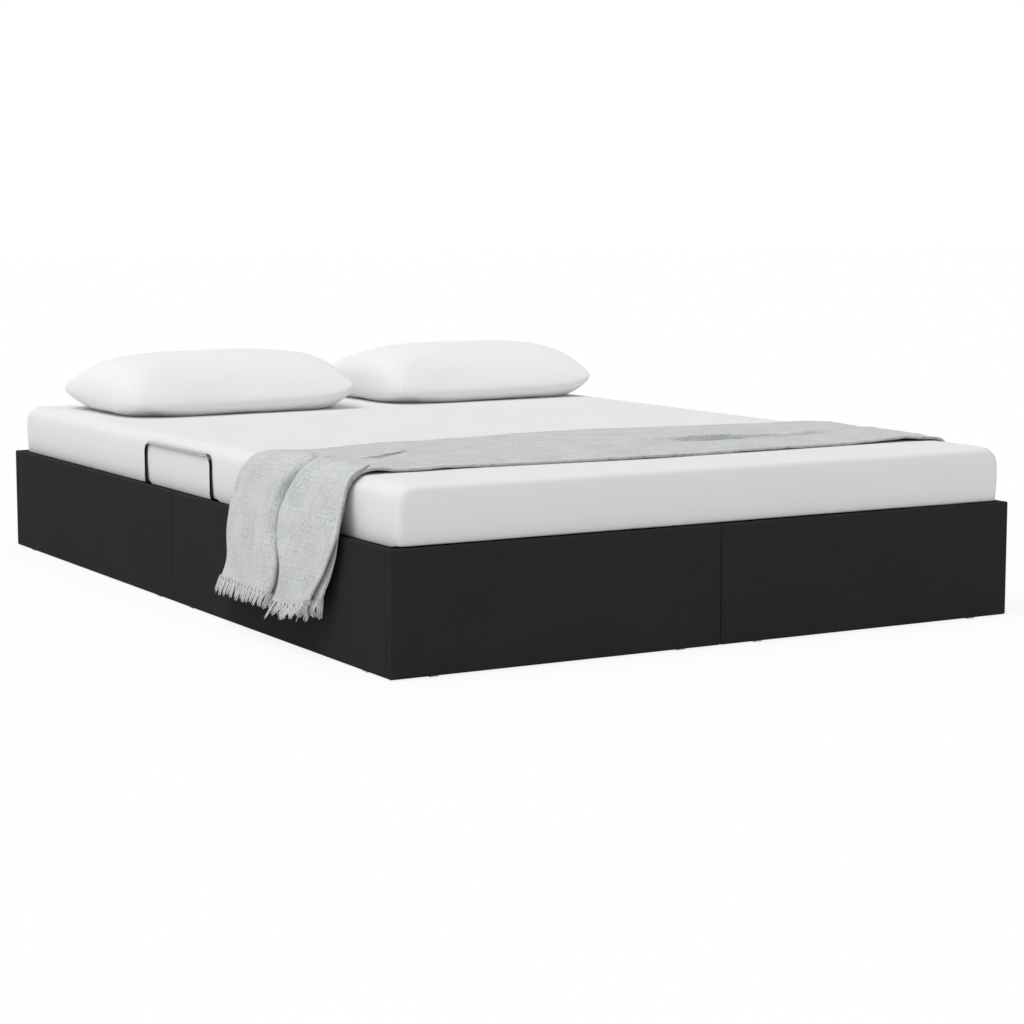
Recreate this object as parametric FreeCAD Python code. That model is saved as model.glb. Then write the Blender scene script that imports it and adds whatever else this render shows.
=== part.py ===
"""Ottoman bed: upholstered storage box, slatted platform on a four-bar gas lift, bedding.

Frame: X across the bed, +Y to the head end, Z up. The origin is on the floor, under the middle.
"""
import FreeCAD, Part
import math
import os

from FreeCAD import Vector as V

os.makedirs("parts", exist_ok=True)

# Driving dimensions, in millimetres and degrees

# Box of upholstered panels
FRAME_WIDTH = 1430.0
FRAME_LENGTH = 2030.0
FRAME_HEIGHT = 237.0
BOARD = 15.0
COVER = 1.8
COVER_FOLD = 25.0
EDGE_ROUND = 3.5
EDGE_STEPS = 2
SEAM_GAP = 0.6
GLIDE_HEIGHT = 2.0
GLIDE_WIDTH = 16.0
GLIDE_INSET = 90.0

# Steel plates, angles and bolts that join the panels
PLATE = 3.0
BRACKET_LEG = 55.0
BRACKET_LOW = 45.0
BRACKET_GAP = 20.0
BRACKET_BOLT_AT = 36.0
BRACKET_BOLT_EDGE = 18.0
SEAM_PLATE = 130.0
SEAM_BOLT_AT = 42.0
WEB = 60.0
BOLT_RADIUS = 3.0
BOLT_HEAD = 4.0
BOLT_ACROSS = 10.0
BOLT_BITE = 11.0
BOLT_PLAY = 0.15
PILOT_EXTRA = 1.0

# Storage floor and the ledges that carry the closed platform
FLOOR_BATTEN_WIDTH = 18.0
FLOOR_BATTEN_HEIGHT = 12.0
FLOOR_SHEET = 3.0
FLOOR_PLAY = 1.0
LEDGER_WIDTH = 45.0
LEDGER_HEIGHT = 28.0
LEDGER_END_GAP = 12.0
HEAD_LEDGER_GAP = 63.0
PAD_THICK = 4.0
PAD_LENGTH = 50.0
PAD_WIDTH = 22.0
PAD_INSET = 200.0

# Lifting platform of square tube
TUBE = 30.0
TUBE_WALL = 2.0
TUBE_BEVEL = 2.5
TUBE_DROP = 15.0
PLATFORM_GAP = 11.4
CAP_THICK = 3.0
CAP_PLUG = 12.0
CAP_PLAY = 0.3

# Sprung slats and their holders
SLAT_PITCH = 120.0
SLAT_END_GAP = 110.0
SLAT_WIDTH = 53.0
SLAT_THICK = 8.0
SLAT_RISE = 4.0
SLAT_PLAY = 0.5
HOLDER_FLOOR = 2.5
HOLDER_ROOF = 2.0
HOLDER_CHEEK = 4.5
SIDE_POCKET = 22.0
CENTRE_HOLDER = 44.0
CENTRE_POCKET = 18.0

# Bent rods that keep the mattress on the platform
ROD_RADIUS = 4.0
ROD_SIDES = 12
BEND_STEPS = 3
RETAINER_SLATS = 3
RETAINER_CENTRE = 10.0
RETAINER_RISE = 106.0
RETAINER_OFFSET = 19.0
RETAINER_PLAY = 1.0
HEAD_RETAINER_OFFSET = 24.0
RETAINER_FOOT_BEND = 26.0
HEAD_FOOT_BEND = 18.0
RETAINER_TOP_BEND = 22.0
CLAMP_LENGTH = 14.0
CLAMP_EDGE = 12.0
CLAMP_ROOF = 2.0
CLAMP_BOLT_AT = 16.0
CLAMP_BOLT_BITE = 8.0

# Four-bar lift, places given along Y and Z on the inside of the side panels
LONG_PIVOT_INSET = 496.4
LONG_PIVOT_Z = 58.0
LONG_ARM = 340.0
LONG_ARM_ANGLE = 10.0
LONG_ARM_HALF = 15.0
SHORT_PIVOT_INSET = 334.4
SHORT_PIVOT_DROP = 38.0
SHORT_ARM = 223.0
SHORT_ARM_ANGLE = 1.5
SHORT_ARM_HALF = 12.0
LUG_ARM = 174.0
LUG_ANGLE = -28.0
ARM = 5.0
ARM_GAP = 2.4
LAYER_GAP = 0.6
PIN_RADIUS = 5.0
PIN_RUN = 0.08
PIN_HEAD = 1.4
PIN_HEAD_EXTRA = 5.0
HEAD_PLAY = 0.2
OPEN_PIVOT_PLAY = 1.7
BASE_MARGIN = 26.0
BASE_TAIL = 66.0
PLATE_BEVEL = 8.0
BASE_BOLT_EDGE = 17.0
STANDOFF = 18.0
LIFT_BOLT_PITCH = 80.0
LIFT_BOLT_DROP = 9.5
LIFT_BOLT_BITE = 10.0
LIFT_BOSS = 13.0
LIFT_BRACKET_EDGE = 13.0

# Gas struts
STRUT_PIVOT_INSET = 436.4
STRUT_PIVOT_Z = 45.0
STRUT_RADIUS = 10.0
STRUT_WALL = 1.8
STRUT_CAP = 10.0
STRUT_ROD_RADIUS = 4.0
STRUT_ROD_PLAY = 0.4
STRUT_ROD_SHOWN = 20.0
STRUT_PISTON = 10.0
STRUT_PISTON_PLAY = 0.6
STRUT_STOP = 8.0
EYE_RADIUS = 11.0
EYE_THICK = 12.0
EYE_LAP = 2.0
STUD_RADIUS = 4.0

# Bedding
BED_CLEAR = 0.4
MATTRESS_HEIGHT = 112.0
MATTRESS_FOOT_INSET = 11.0
MATTRESS_CORNER = 14.0
MATTRESS_ROLL = 26.0
MATTRESS_LOW_ROLL = 16.0
MATTRESS_DRAW = 3.0
MATTRESS_CROWN = 3.0
CROWN_INSET = 240.0
ROLL_STEPS = 3
CORNER_STEPS = 4
PILLOW_WIDTH = 590.0
PILLOW_DEPTH = 460.0
PILLOW_HEIGHT = 138.0
PILLOW_DRAW = 16.0
PILLOW_BELLY = 20.0
PILLOW_STEPS = 6
LEFT_PILLOW_SIDE = 61.0
LEFT_PILLOW_HEAD = 56.0
RIGHT_PILLOW_SIDE = 34.0
RIGHT_PILLOW_HEAD = 4.0
THROW_THICK = 5.0
THROW_WIDTH = 487.0
THROW_FOOT = 142.0
THROW_HEM_Z = 92.0
THROW_HEM_SWING = 100.0
THROW_CLEAR = 1.5
THROW_WAVES = 3
WAVE_STEPS = 6
THROW_TOP_WAVE = 1.5
THROW_FALL_WAVE = 5.0
THROW_HEM_WAVE = 12.0

# Derived places shared by the pieces

HALF_WIDTH = FRAME_WIDTH / 2
HALF_LENGTH = FRAME_LENGTH / 2
PANEL = BOARD + 2 * COVER
PANEL_HEIGHT = FRAME_HEIGHT - GLIDE_HEIGHT
FACE_X = HALF_WIDTH - COVER - BOARD
FACE_Y = HALF_LENGTH - COVER - BOARD
FOLD_X = HALF_WIDTH - PANEL
FOLD_Y = HALF_LENGTH - PANEL

TUBE_TOP = FRAME_HEIGHT - TUBE_DROP
TUBE_LOW = TUBE_TOP - TUBE
LEDGER_TOP = TUBE_LOW - PAD_THICK
LEDGER_LOW = LEDGER_TOP - LEDGER_HEIGHT
BRACKET_TOP = LEDGER_LOW - BRACKET_GAP
BRACKET_BOLT_LEVELS = (BRACKET_LOW + BRACKET_BOLT_EDGE, BRACKET_TOP - BRACKET_BOLT_EDGE)
SEAM_BOLT_LEVEL = (BRACKET_LOW + BRACKET_TOP) / 2
FLOOR_LOW = GLIDE_HEIGHT + FLOOR_BATTEN_HEIGHT

# Layers of the lift, from the side panel inwards
LONG_OUT = FOLD_X - ARM_GAP
LONG_IN = LONG_OUT - ARM
PLATE_OUT = LONG_IN - LAYER_GAP
PLATE_IN = PLATE_OUT - PLATE
SHORT_OUT = PLATE_IN - LAYER_GAP
SHORT_IN = SHORT_OUT - ARM
TUBE_OUT = SHORT_IN - HEAD_PLAY - PIN_HEAD - LAYER_GAP
TUBE_IN = TUBE_OUT - TUBE
STRUT_X = TUBE_OUT - STRUT_RADIUS

PLATFORM_END = FOLD_Y - PLATFORM_GAP
CROSS_IN = PLATFORM_END - TUBE

SLATS_EACH_WAY = int((CROSS_IN - SLAT_END_GAP) / SLAT_PITCH)
RETAINER_SPACING = RETAINER_SLATS * SLAT_PITCH
RETAINER_TOP = TUBE_TOP + RETAINER_RISE
RETAINER_PLANE = HALF_WIDTH - RETAINER_OFFSET
HEAD_RETAINER_PLANE = HALF_LENGTH - HEAD_RETAINER_OFFSET
SLAT_SEAT = TUBE_TOP + HOLDER_FLOOR + SLAT_PLAY
POCKET_HEIGHT = SLAT_THICK + 3 * SLAT_PLAY
HOLDER_WIDTH = SLAT_WIDTH + 2 * SLAT_PLAY + 2 * HOLDER_CHEEK
HOLDER_HEIGHT = HOLDER_FLOOR + POCKET_HEIGHT + HOLDER_ROOF
MATTRESS_LOW = SLAT_SEAT + SLAT_RISE + SLAT_THICK + BED_CLEAR
MATTRESS_TOP = MATTRESS_LOW + MATTRESS_HEIGHT
MATTRESS_SIDE = RETAINER_PLANE - ROD_RADIUS - RETAINER_PLAY
MATTRESS_END = HEAD_RETAINER_PLANE - ROD_RADIUS - RETAINER_PLAY
MATTRESS_FOOT = HALF_LENGTH - MATTRESS_FOOT_INSET
THROW_FOOT_Y = THROW_FOOT - MATTRESS_FOOT
LEDGER_SPAN = FACE_X - LEDGER_WIDTH - HEAD_LEDGER_GAP
QUARTER_TURN = 90.0


def along(start, distance, angle):
    """Point at a distance and angle from another, in the Y, Z plane of the lift."""
    turn = math.radians(angle)
    return (start[0] + distance * math.cos(turn), start[1] + distance * math.sin(turn))


LONG_PIVOT = (FOLD_Y - LONG_PIVOT_INSET, LONG_PIVOT_Z)
SHORT_PIVOT = (FOLD_Y - SHORT_PIVOT_INSET, TUBE_TOP - SHORT_PIVOT_DROP)
STRUT_PIVOT = (FOLD_Y - STRUT_PIVOT_INSET, STRUT_PIVOT_Z)
LONG_END = along(LONG_PIVOT, LONG_ARM, LONG_ARM_ANGLE)
SHORT_END = along(SHORT_PIVOT, SHORT_ARM, SHORT_ARM_ANGLE)
LUG = along(SHORT_PIVOT, LUG_ARM, LUG_ANGLE)
BASE_LEFT = LONG_PIVOT[0] - BASE_TAIL
BASE_RIGHT = SHORT_PIVOT[0] + BASE_MARGIN
BASE_TOP = SHORT_PIVOT[1] + BASE_MARGIN
BASE_LOW = STRUT_PIVOT_Z - BASE_BOLT_EDGE
LEDGER_STOP = BASE_LEFT - LEDGER_END_GAP


# General helpers


def box(x0, x1, y0, y1, z0, z1):
    """Box between two values on each axis, in either order."""
    low = V(min(x0, x1), min(y0, y1), min(z0, z1))
    return Part.makeBox(abs(x1 - x0), abs(y1 - y0), abs(z1 - z0), low)


def disc(point, radius, x0, x1):
    """Round bar along X about a point of the lift plane."""
    return Part.makeCylinder(radius, abs(x1 - x0), V(min(x0, x1), point[0], point[1]), V(1, 0, 0))


def mirror_x(shape):
    """The same piece on the other long side."""
    return shape.mirror(V(0, 0, 0), V(1, 0, 0))


def mirror_y(shape):
    """The same piece at the other end."""
    return shape.mirror(V(0, 0, 0), V(0, 1, 0))


def bevel_edges(shape, axis, size):
    """Bevel every straight edge that runs along an axis."""
    edges = []
    for edge in shape.Edges:
        way = edge.Vertexes[-1].Point.sub(edge.Vertexes[0].Point)
        if abs(way.dot(axis)) > 0.999 * way.Length:
            edges.append(edge)
    return shape.makeChamfer(size, edges)


def hexagon(middle, way, across, length):
    """Hexagonal bar of a width across its flats, from a point along one of the main axes."""
    first = V(0, 0, 1) if abs(way.z) < 0.5 else V(1, 0, 0)
    second = way.cross(first)
    reach = across / 2 / math.cos(math.pi / 6)
    ring = []
    for step in range(7):
        turn = step * math.pi / 3
        ring.append(middle + first * (reach * math.cos(turn)) + second * (reach * math.sin(turn)))
    return Part.Face(Part.makePolygon(ring)).extrude(way * length)


def bolt(seat, way, grip):
    """Hexagon-head bolt: seat is the middle of the face under its head, way points down the shank."""
    head = hexagon(seat, way, BOLT_ACROSS, -BOLT_HEAD)
    return head.fuse(hexagon(seat, way, 2 * BOLT_RADIUS, grip)).removeSplitter()


def bored(shape, bolts):
    """A piece with a clearance hole for every bolt that reaches into it."""
    for seat, way, grip in bolts:
        start = seat - way * PILOT_EXTRA
        hole = hexagon(start, way, 2 * (BOLT_RADIUS + BOLT_PLAY), grip + 2 * PILOT_EXTRA)
        if hole.BoundBox.intersect(shape.BoundBox):
            shape = shape.cut(hole)
    return shape


def skin(rings):
    """Solid from rings of points, each ring joined to the next by triangles and both ends closed."""
    count = len(rings[0])
    faces = [Part.Face(Part.makePolygon(ring + ring[:1])) for ring in (rings[0], rings[-1])]
    for low, high in zip(rings, rings[1:]):
        for index in range(count):
            after = (index + 1) % count
            for corners in ((low[index], low[after], high[after]), (low[index], high[after], high[index])):
                faces.append(Part.Face(Part.makePolygon(corners + corners[:1])))
    solid = Part.makeSolid(Part.makeShell(faces))
    return solid if solid.Volume > 0 else solid.reversed()


def export(name, shapes):
    """Write one node; several shapes become a group of separate solids."""
    shape = shapes if isinstance(shapes, Part.Shape) else Part.makeCompound(shapes)
    shape.exportStep("parts/" + name + ".step")


# Bolts of the box: seat, direction and grip


def corner_bolts():
    """Two bolts through each leg of each corner angle."""
    places = []
    grip = PLATE + BOLT_BITE
    for sx in (-1, 1):
        for sy in (-1, 1):
            for level in BRACKET_BOLT_LEVELS:
                end = V(sx * (FACE_X - BRACKET_BOLT_AT), sy * (FACE_Y - PLATE), level)
                side = V(sx * (FACE_X - PLATE), sy * (FACE_Y - BRACKET_BOLT_AT), level)
                places.append((end, V(0, sy, 0), grip))
                places.append((side, V(sx, 0, 0), grip))
    return places


def seam_bolts():
    """Two bolts through each seam plate, one through each web into the centre board."""
    places = []
    grip = PLATE + BOLT_BITE
    level = SEAM_BOLT_LEVEL
    for sign in (-1, 1):
        for offset in (-SEAM_BOLT_AT, SEAM_BOLT_AT):
            places.append((V(offset, sign * (FACE_Y - PLATE), level), V(0, sign, 0), grip))
            places.append((V(sign * (FACE_X - PLATE), offset, level), V(sign, 0, 0), grip))
        web = V(sign * (FACE_X - PLATE - WEB / 2), BOARD / 2 + PLATE, level)
        places.append((web, V(0, -1, 0), grip))
    return places


def base_bolt_points():
    """Bolts of a lift base plate, clear of the long arm that swings behind it."""
    left = BASE_LEFT + BASE_BOLT_EDGE
    low = BASE_LOW + BASE_BOLT_EDGE
    top = BASE_TOP - BASE_BOLT_EDGE
    return ((left, low), (left, top), (BASE_RIGHT - 2 * BASE_MARGIN, low))


def base_bolts():
    """Bolts that hold both lift base plates to the side panels."""
    grip = FACE_X - PLATE_IN + BOLT_BITE
    places = []
    for sx in (-1, 1):
        for point in base_bolt_points():
            places.append((V(sx * PLATE_IN, point[0], point[1]), V(sx, 0, 0), grip))
    return places


FRAME_BOLTS = corner_bolts() + seam_bolts() + base_bolts()


# Upholstered panels


def panel_corner(y, z, start):
    """Points round one soft edge of a panel's section, a quarter turn from a starting angle."""
    points = []
    for step in range(EDGE_STEPS + 1):
        turn = math.radians(start + QUARTER_TURN * step / EDGE_STEPS)
        points.append(V(0, y + EDGE_ROUND * math.cos(turn), z + EDGE_ROUND * math.sin(turn)))
    return points


def panel(length):
    """Board and cover of one panel: outer face on Y = 0, running along X from 0."""
    low = GLIDE_HEIGHT
    top = FRAME_HEIGHT
    soft = EDGE_ROUND
    ring = [V(0, PANEL, low)]
    ring += panel_corner(PANEL - soft, top - soft, 0)
    ring += panel_corner(soft, top - soft, QUARTER_TURN)
    ring += panel_corner(soft, low + soft, 2 * QUARTER_TURN)
    outer = Part.Face(Part.makePolygon(ring + ring[:1])).extrude(V(length, 0, 0))
    board = box(COVER, length - COVER, COVER, COVER + BOARD, low + COVER, top - COVER)
    window = box(0, length, COVER + BOARD, PANEL, low + COVER_FOLD, top - COVER_FOLD)
    return board, outer.cut(board).cut(window)


def place_panel(shapes, turn, x, y):
    """Turn a board and its cover about Z and move them to their corner."""
    placement = FreeCAD.Placement(V(x, y, 0), FreeCAD.Rotation(V(0, 0, 1), turn))
    placed = []
    for shape in shapes:
        copy = shape.copy()
        copy.Placement = placement
        placed.append(copy)
    return placed


def make_panels():
    """Eight panels: two along each side and two across each end, which lap the sides."""
    side = FOLD_Y - SEAM_GAP / 2
    end = HALF_WIDTH - SEAM_GAP / 2
    gap = SEAM_GAP / 2
    places = {
        "foot_panel_left": (end, 0, -HALF_WIDTH, -HALF_LENGTH),
        "foot_panel_right": (end, 0, gap, -HALF_LENGTH),
        "head_panel_left": (end, 2 * QUARTER_TURN, -gap, HALF_LENGTH),
        "head_panel_right": (end, 2 * QUARTER_TURN, HALF_WIDTH, HALF_LENGTH),
        "left_side_panel_foot": (side, -QUARTER_TURN, -HALF_WIDTH, -gap),
        "left_side_panel_head": (side, -QUARTER_TURN, -HALF_WIDTH, FOLD_Y),
        "right_side_panel_foot": (side, QUARTER_TURN, HALF_WIDTH, -FOLD_Y),
        "right_side_panel_head": (side, QUARTER_TURN, HALF_WIDTH, gap),
    }
    for name, (length, turn, x, y) in places.items():
        board, cover = place_panel(panel(length), turn, x, y)
        export(name + "_board", bored(board, FRAME_BOLTS))
        export(name + "_cover", cover)


# Hardware that joins the box


def make_corner_brackets():
    """Steel angle in each corner with two bolts a leg."""
    end = box(FACE_X - BRACKET_LEG, FACE_X, FACE_Y - PLATE, FACE_Y, BRACKET_LOW, BRACKET_TOP)
    side = box(FACE_X - PLATE, FACE_X, FACE_Y - BRACKET_LEG, FACE_Y, BRACKET_LOW, BRACKET_TOP)
    angle = bored(end.fuse(side).removeSplitter(), FRAME_BOLTS)
    pair = [angle, mirror_x(angle)]
    export("corner_brackets", pair + [mirror_y(one) for one in pair])


def make_seam_plates():
    """Plates behind the four seams; the side ones carry a web for the centre board."""
    half = SEAM_PLATE / 2
    end = box(-half, half, FACE_Y - PLATE, FACE_Y, BRACKET_LOW, BRACKET_TOP)
    end = bored(end, FRAME_BOLTS)
    side = box(FACE_X - PLATE, FACE_X, -half, half, BRACKET_LOW, BRACKET_TOP)
    web_in = FACE_X - PLATE - WEB
    web = box(web_in, FACE_X - PLATE, BOARD / 2, BOARD / 2 + PLATE, BRACKET_LOW, BRACKET_TOP)
    side = bored(side.fuse(web).removeSplitter(), FRAME_BOLTS)
    export("seam_plates", [end, mirror_y(end), side, mirror_x(side)])
    export("frame_bolts", [bolt(*place) for place in FRAME_BOLTS])


def make_glides():
    """Square plastic pads under the panels, the centre board and the floor runners."""
    mid = PANEL / 2
    half = GLIDE_WIDTH / 2
    spots = [(x, 0.0) for x in (-FRAME_WIDTH / 4, FRAME_WIDTH / 4)]
    spots += [(0.0, y) for y in (-FRAME_LENGTH / 4, FRAME_LENGTH / 4)]
    for sx in (-1, 1):
        for sy in (-1, 1):
            spots.append((sx * GLIDE_INSET, sy * (HALF_LENGTH - mid)))
            spots.append((sx * (HALF_WIDTH - GLIDE_INSET), sy * (HALF_LENGTH - mid)))
            spots.append((sx * (HALF_WIDTH - mid), sy * GLIDE_INSET))
            spots.append((sx * (HALF_WIDTH - mid), sy * (FOLD_Y - GLIDE_INSET)))
    export("floor_glides", [box(x - half, x + half, y - half, y + half, 0, GLIDE_HEIGHT) for x, y in spots])


# Inside of the storage box


def make_centre_board():
    """Cross board that ties the side seams and carries the middle of the platform."""
    end = FACE_X - PLATE
    board = box(-end, end, -BOARD / 2, BOARD / 2, GLIDE_HEIGHT, LEDGER_TOP)
    export("centre_board", bored(board, FRAME_BOLTS))


def make_floor():
    """Battens round both halves, a runner down the middle, and four thin floor sheets."""
    low = GLIDE_HEIGHT
    top = FLOOR_LOW
    wide = FLOOR_BATTEN_WIDTH
    half = BOARD / 2
    battens = []
    for sx in (-1, 1):
        for sy in (-1, 1):
            battens.append(box(sx * (FOLD_X - wide), sx * FOLD_X, sy * half, sy * FOLD_Y, low, top))
    across = FOLD_X - wide
    for sy in (-1, 1):
        battens.append(box(-across, across, sy * (FOLD_Y - wide), sy * FOLD_Y, low, top))
        battens.append(box(-across, across, sy * half, sy * (half + wide), low, top))
        battens.append(box(-wide / 2, wide / 2, sy * (half + wide), sy * (FOLD_Y - wide), low, top))
    export("floor_battens", battens)
    sheets = []
    for sx in (-1, 1):
        for sy in (-1, 1):
            x0 = sx * FLOOR_PLAY / 2
            x1 = sx * (FOLD_X - FLOOR_PLAY)
            y0 = sy * (half + FLOOR_PLAY)
            y1 = sy * (FOLD_Y - FLOOR_PLAY)
            sheets.append(box(x0, x1, y0, y1, top, top + FLOOR_SHEET))
    export("floor_sheets", sheets)


def make_ledgers():
    """Wooden ledges glued to the boards, and the rubber pads that the tubes rest on."""
    inner = FACE_X - LEDGER_WIDTH
    span = LEDGER_SPAN
    ledgers = []
    for sx in (-1, 1):
        for y0, y1 in ((-FACE_Y, -BOARD / 2), (BOARD / 2, LEDGER_STOP)):
            ledgers.append(box(sx * inner, sx * FACE_X, y0, y1, LEDGER_LOW, LEDGER_TOP))
    for sy in (-1, 1):
        y0 = sy * (FACE_Y - LEDGER_WIDTH)
        ledgers.append(box(-span, span, y0, sy * FACE_Y, LEDGER_LOW, LEDGER_TOP))
    export("ledger_battens", ledgers)

    pads = [pad(0, 0, PAD_LENGTH, BOARD)]
    for sx in (-1, 1):
        for y in (-PLATFORM_END + PAD_INSET, -BRACKET_LEG, LEDGER_STOP - PAD_LENGTH):
            pads.append(pad(sx * (TUBE_OUT - PAD_WIDTH / 2), y, PAD_WIDTH, PAD_LENGTH))
        for sy in (-1, 1):
            y = sy * (PLATFORM_END - PAD_WIDTH / 2)
            pads.append(pad(sx * (span - PAD_INSET), y, PAD_LENGTH, PAD_WIDTH))
    export("rest_pads", pads)


def pad(x, y, length, width):
    """Rubber pad on a ledge, centred under a tube."""
    return box(x - length / 2, x + length / 2, y - width / 2, y + width / 2, LEDGER_TOP, TUBE_LOW)


# Four-bar lift; each piece is drawn for the right side and mirrored


def both_sides(name, shape):
    """Export a right-hand piece and its mirror as two nodes."""
    export("right_" + name, shape)
    export("left_" + name, mirror_x(shape))


def link(start, end, half, x0, x1):
    """Flat bar with round ends between two points of the lift plane."""
    way = V(0, end[0] - start[0], end[1] - start[1])
    side = V(1, 0, 0).cross(way)
    side.normalize()
    side = side * half
    tip = V(0, way.y, way.z)
    tip.normalize()
    tip = tip * half
    a = V(x0, start[0], start[1])
    b = V(x0, end[0], end[1])
    edges = [
        Part.makeLine(a + side, b + side),
        Part.Arc(b + side, b + tip, b - side).toShape(),
        Part.makeLine(b - side, a - side),
        Part.Arc(a - side, a - tip, a + side).toShape(),
    ]
    return Part.Face(Part.Wire(edges)).extrude(V(x1 - x0, 0, 0))


def plate(points, x0, x1):
    """Plate with cut corners from its outline in the lift plane."""
    corners = [V(x0, y, z) for y, z in points]
    face = Part.Face(Part.makePolygon(corners + corners[:1]))
    return bevel_edges(face.extrude(V(x1 - x0, 0, 0)), V(1, 0, 0), PLATE_BEVEL)


def boss(point, width, x0, x1):
    """Square spacer on a plate, about a bolt."""
    half = width / 2
    return box(x0, x1, point[0] - half, point[0] + half, point[1] - half, point[1] + half)


def pin(point, flush, head, radius):
    """Riveted stud from its flush end to the hexagonal head that holds a moving piece on."""
    out = 1 if head > flush else -1
    neck = head + out * HEAD_PLAY
    shank = disc(point, radius, flush, neck)
    way = V(out, 0, 0)
    return shank.fuse(hexagon(V(neck, point[0], point[1]), way, 2 * radius + PIN_HEAD_EXTRA, PIN_HEAD))


def make_base_plates():
    """Fixed plate of each lift, held off the panel so that the long arm swings behind it."""
    outline = (
        (BASE_LEFT, BASE_LOW),
        (BASE_RIGHT - BASE_MARGIN, BASE_LOW),
        (BASE_RIGHT, SHORT_PIVOT[1] - BASE_MARGIN),
        (BASE_RIGHT, BASE_TOP),
        (BASE_LEFT, BASE_TOP),
    )
    shape = plate(outline, PLATE_IN, PLATE_OUT)
    for point in base_bolt_points():
        shape = shape.fuse(boss(point, STANDOFF, PLATE_IN, FACE_X))
    shape = shape.fuse([
        pin(LONG_PIVOT, PLATE_IN, LONG_OUT, PIN_RADIUS),
        pin(SHORT_PIVOT, PLATE_OUT, SHORT_IN, PIN_RADIUS),
        pin(STRUT_PIVOT, PLATE_OUT, STRUT_X - EYE_THICK / 2, STUD_RADIUS),
    ])
    both_sides("base_plate", bored(shape.removeSplitter(), FRAME_BOLTS))


def make_long_arms():
    """Long arms, next to the side panels, with the studs riveted in their upper ends."""
    shape = link(LONG_PIVOT, LONG_END, LONG_ARM_HALF, LONG_IN, LONG_OUT)
    shape = shape.cut(disc(LONG_PIVOT, PIN_RADIUS + PIN_RUN, LONG_IN, LONG_OUT))
    shape = shape.fuse(disc(LONG_END, PIN_RADIUS, PLATE_IN, LONG_OUT))
    both_sides("long_arm", shape.removeSplitter())


def make_short_arms():
    """Short cranked arms with a lug for the strut, their upper studs and strut studs riveted in."""
    shape = link(SHORT_PIVOT, SHORT_END, SHORT_ARM_HALF, SHORT_IN, SHORT_OUT)
    shape = shape.fuse(link(SHORT_PIVOT, LUG, SHORT_ARM_HALF, SHORT_IN, SHORT_OUT)).removeSplitter()
    shape = shape.cut(disc(SHORT_PIVOT, PIN_RADIUS + PIN_RUN, SHORT_IN, SHORT_OUT))
    shape = shape.fuse(disc(SHORT_END, PIN_RADIUS, SHORT_IN, PLATE_OUT))
    shape = shape.fuse(pin(LUG, SHORT_OUT, STRUT_X - EYE_THICK / 2, STUD_RADIUS))
    both_sides("short_arm", shape.removeSplitter())


def make_struts():
    """Gas struts: cylinder with its eye on the base plate, rod and piston with an eye on the lug."""
    start = V(STRUT_X, STRUT_PIVOT[0], STRUT_PIVOT[1])
    end = V(STRUT_X, LUG[0], LUG[1])
    way = end.sub(start)
    length = way.Length
    way.normalize()
    bore_start = EYE_RADIUS + STRUT_CAP
    mouth = length - EYE_RADIUS - STRUT_ROD_SHOWN
    tip = bore_start + STRUT_STOP
    eye_x0 = STRUT_X - EYE_THICK / 2
    eye_x1 = STRUT_X + EYE_THICK / 2

    neck = EYE_RADIUS - EYE_LAP
    tube = Part.makeCylinder(STRUT_RADIUS, mouth - neck, start + way * neck, way)
    tube = tube.fuse(disc(STRUT_PIVOT, EYE_RADIUS, eye_x0, eye_x1)).removeSplitter()
    bore = Part.makeCylinder(STRUT_RADIUS - STRUT_WALL, mouth - STRUT_CAP - bore_start,
                             start + way * bore_start, way)
    guide = Part.makeCylinder(STRUT_ROD_RADIUS + STRUT_ROD_PLAY, mouth - bore_start,
                              start + way * bore_start, way)
    tube = tube.cut(bore).cut(guide).cut(disc(STRUT_PIVOT, STUD_RADIUS + PIN_RUN, eye_x0, eye_x1))
    both_sides("gas_cylinder", tube)

    rod = Part.makeCylinder(STRUT_ROD_RADIUS, length - tip - neck, start + way * tip, way)
    piston = Part.makeCylinder(STRUT_RADIUS - STRUT_WALL - STRUT_PISTON_PLAY, STRUT_PISTON,
                               start + way * tip, way)
    rod = rod.fuse(piston).fuse(disc(LUG, EYE_RADIUS, eye_x0, eye_x1)).removeSplitter()
    both_sides("gas_rod", rod.cut(disc(LUG, STUD_RADIUS + PIN_RUN, eye_x0, eye_x1)))


# Lifting platform


def lift_bolt_points():
    """Bolts that join a lift bracket to its side tube, in the lift plane."""
    level = TUBE_TOP - LIFT_BOLT_DROP
    first = SHORT_END[0] - LIFT_BOLT_PITCH / 2
    return [(first, level), (first + LIFT_BOLT_PITCH, level)]


def lift_bolts():
    """Bolts from the outside of both brackets into the side tubes."""
    grip = PLATE_OUT - TUBE_OUT + LIFT_BOLT_BITE
    places = []
    for sx in (-1, 1):
        for point in lift_bolt_points():
            places.append((V(sx * PLATE_OUT, point[0], point[1]), V(-sx, 0, 0), grip))
    return places


def retainer_feet():
    """Where each rod crosses its tube: tube-side point, direction inwards, direction to the other leg."""
    half = RETAINER_SPACING / 2
    feet = []
    for sx in (-1, 1):
        for sy in (-1, 1):
            spot = V(sx * (TUBE_OUT - CLAMP_EDGE), RETAINER_CENTRE + sy * half, TUBE_TOP)
            feet.append((spot, V(-sx, 0, 0), V(0, -sy, 0)))
    for sx in (-1, 1):
        spot = V(sx * half, PLATFORM_END - CLAMP_EDGE, TUBE_TOP)
        feet.append((spot, V(0, -1, 0), V(-sx, 0, 0)))
    return feet


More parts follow.
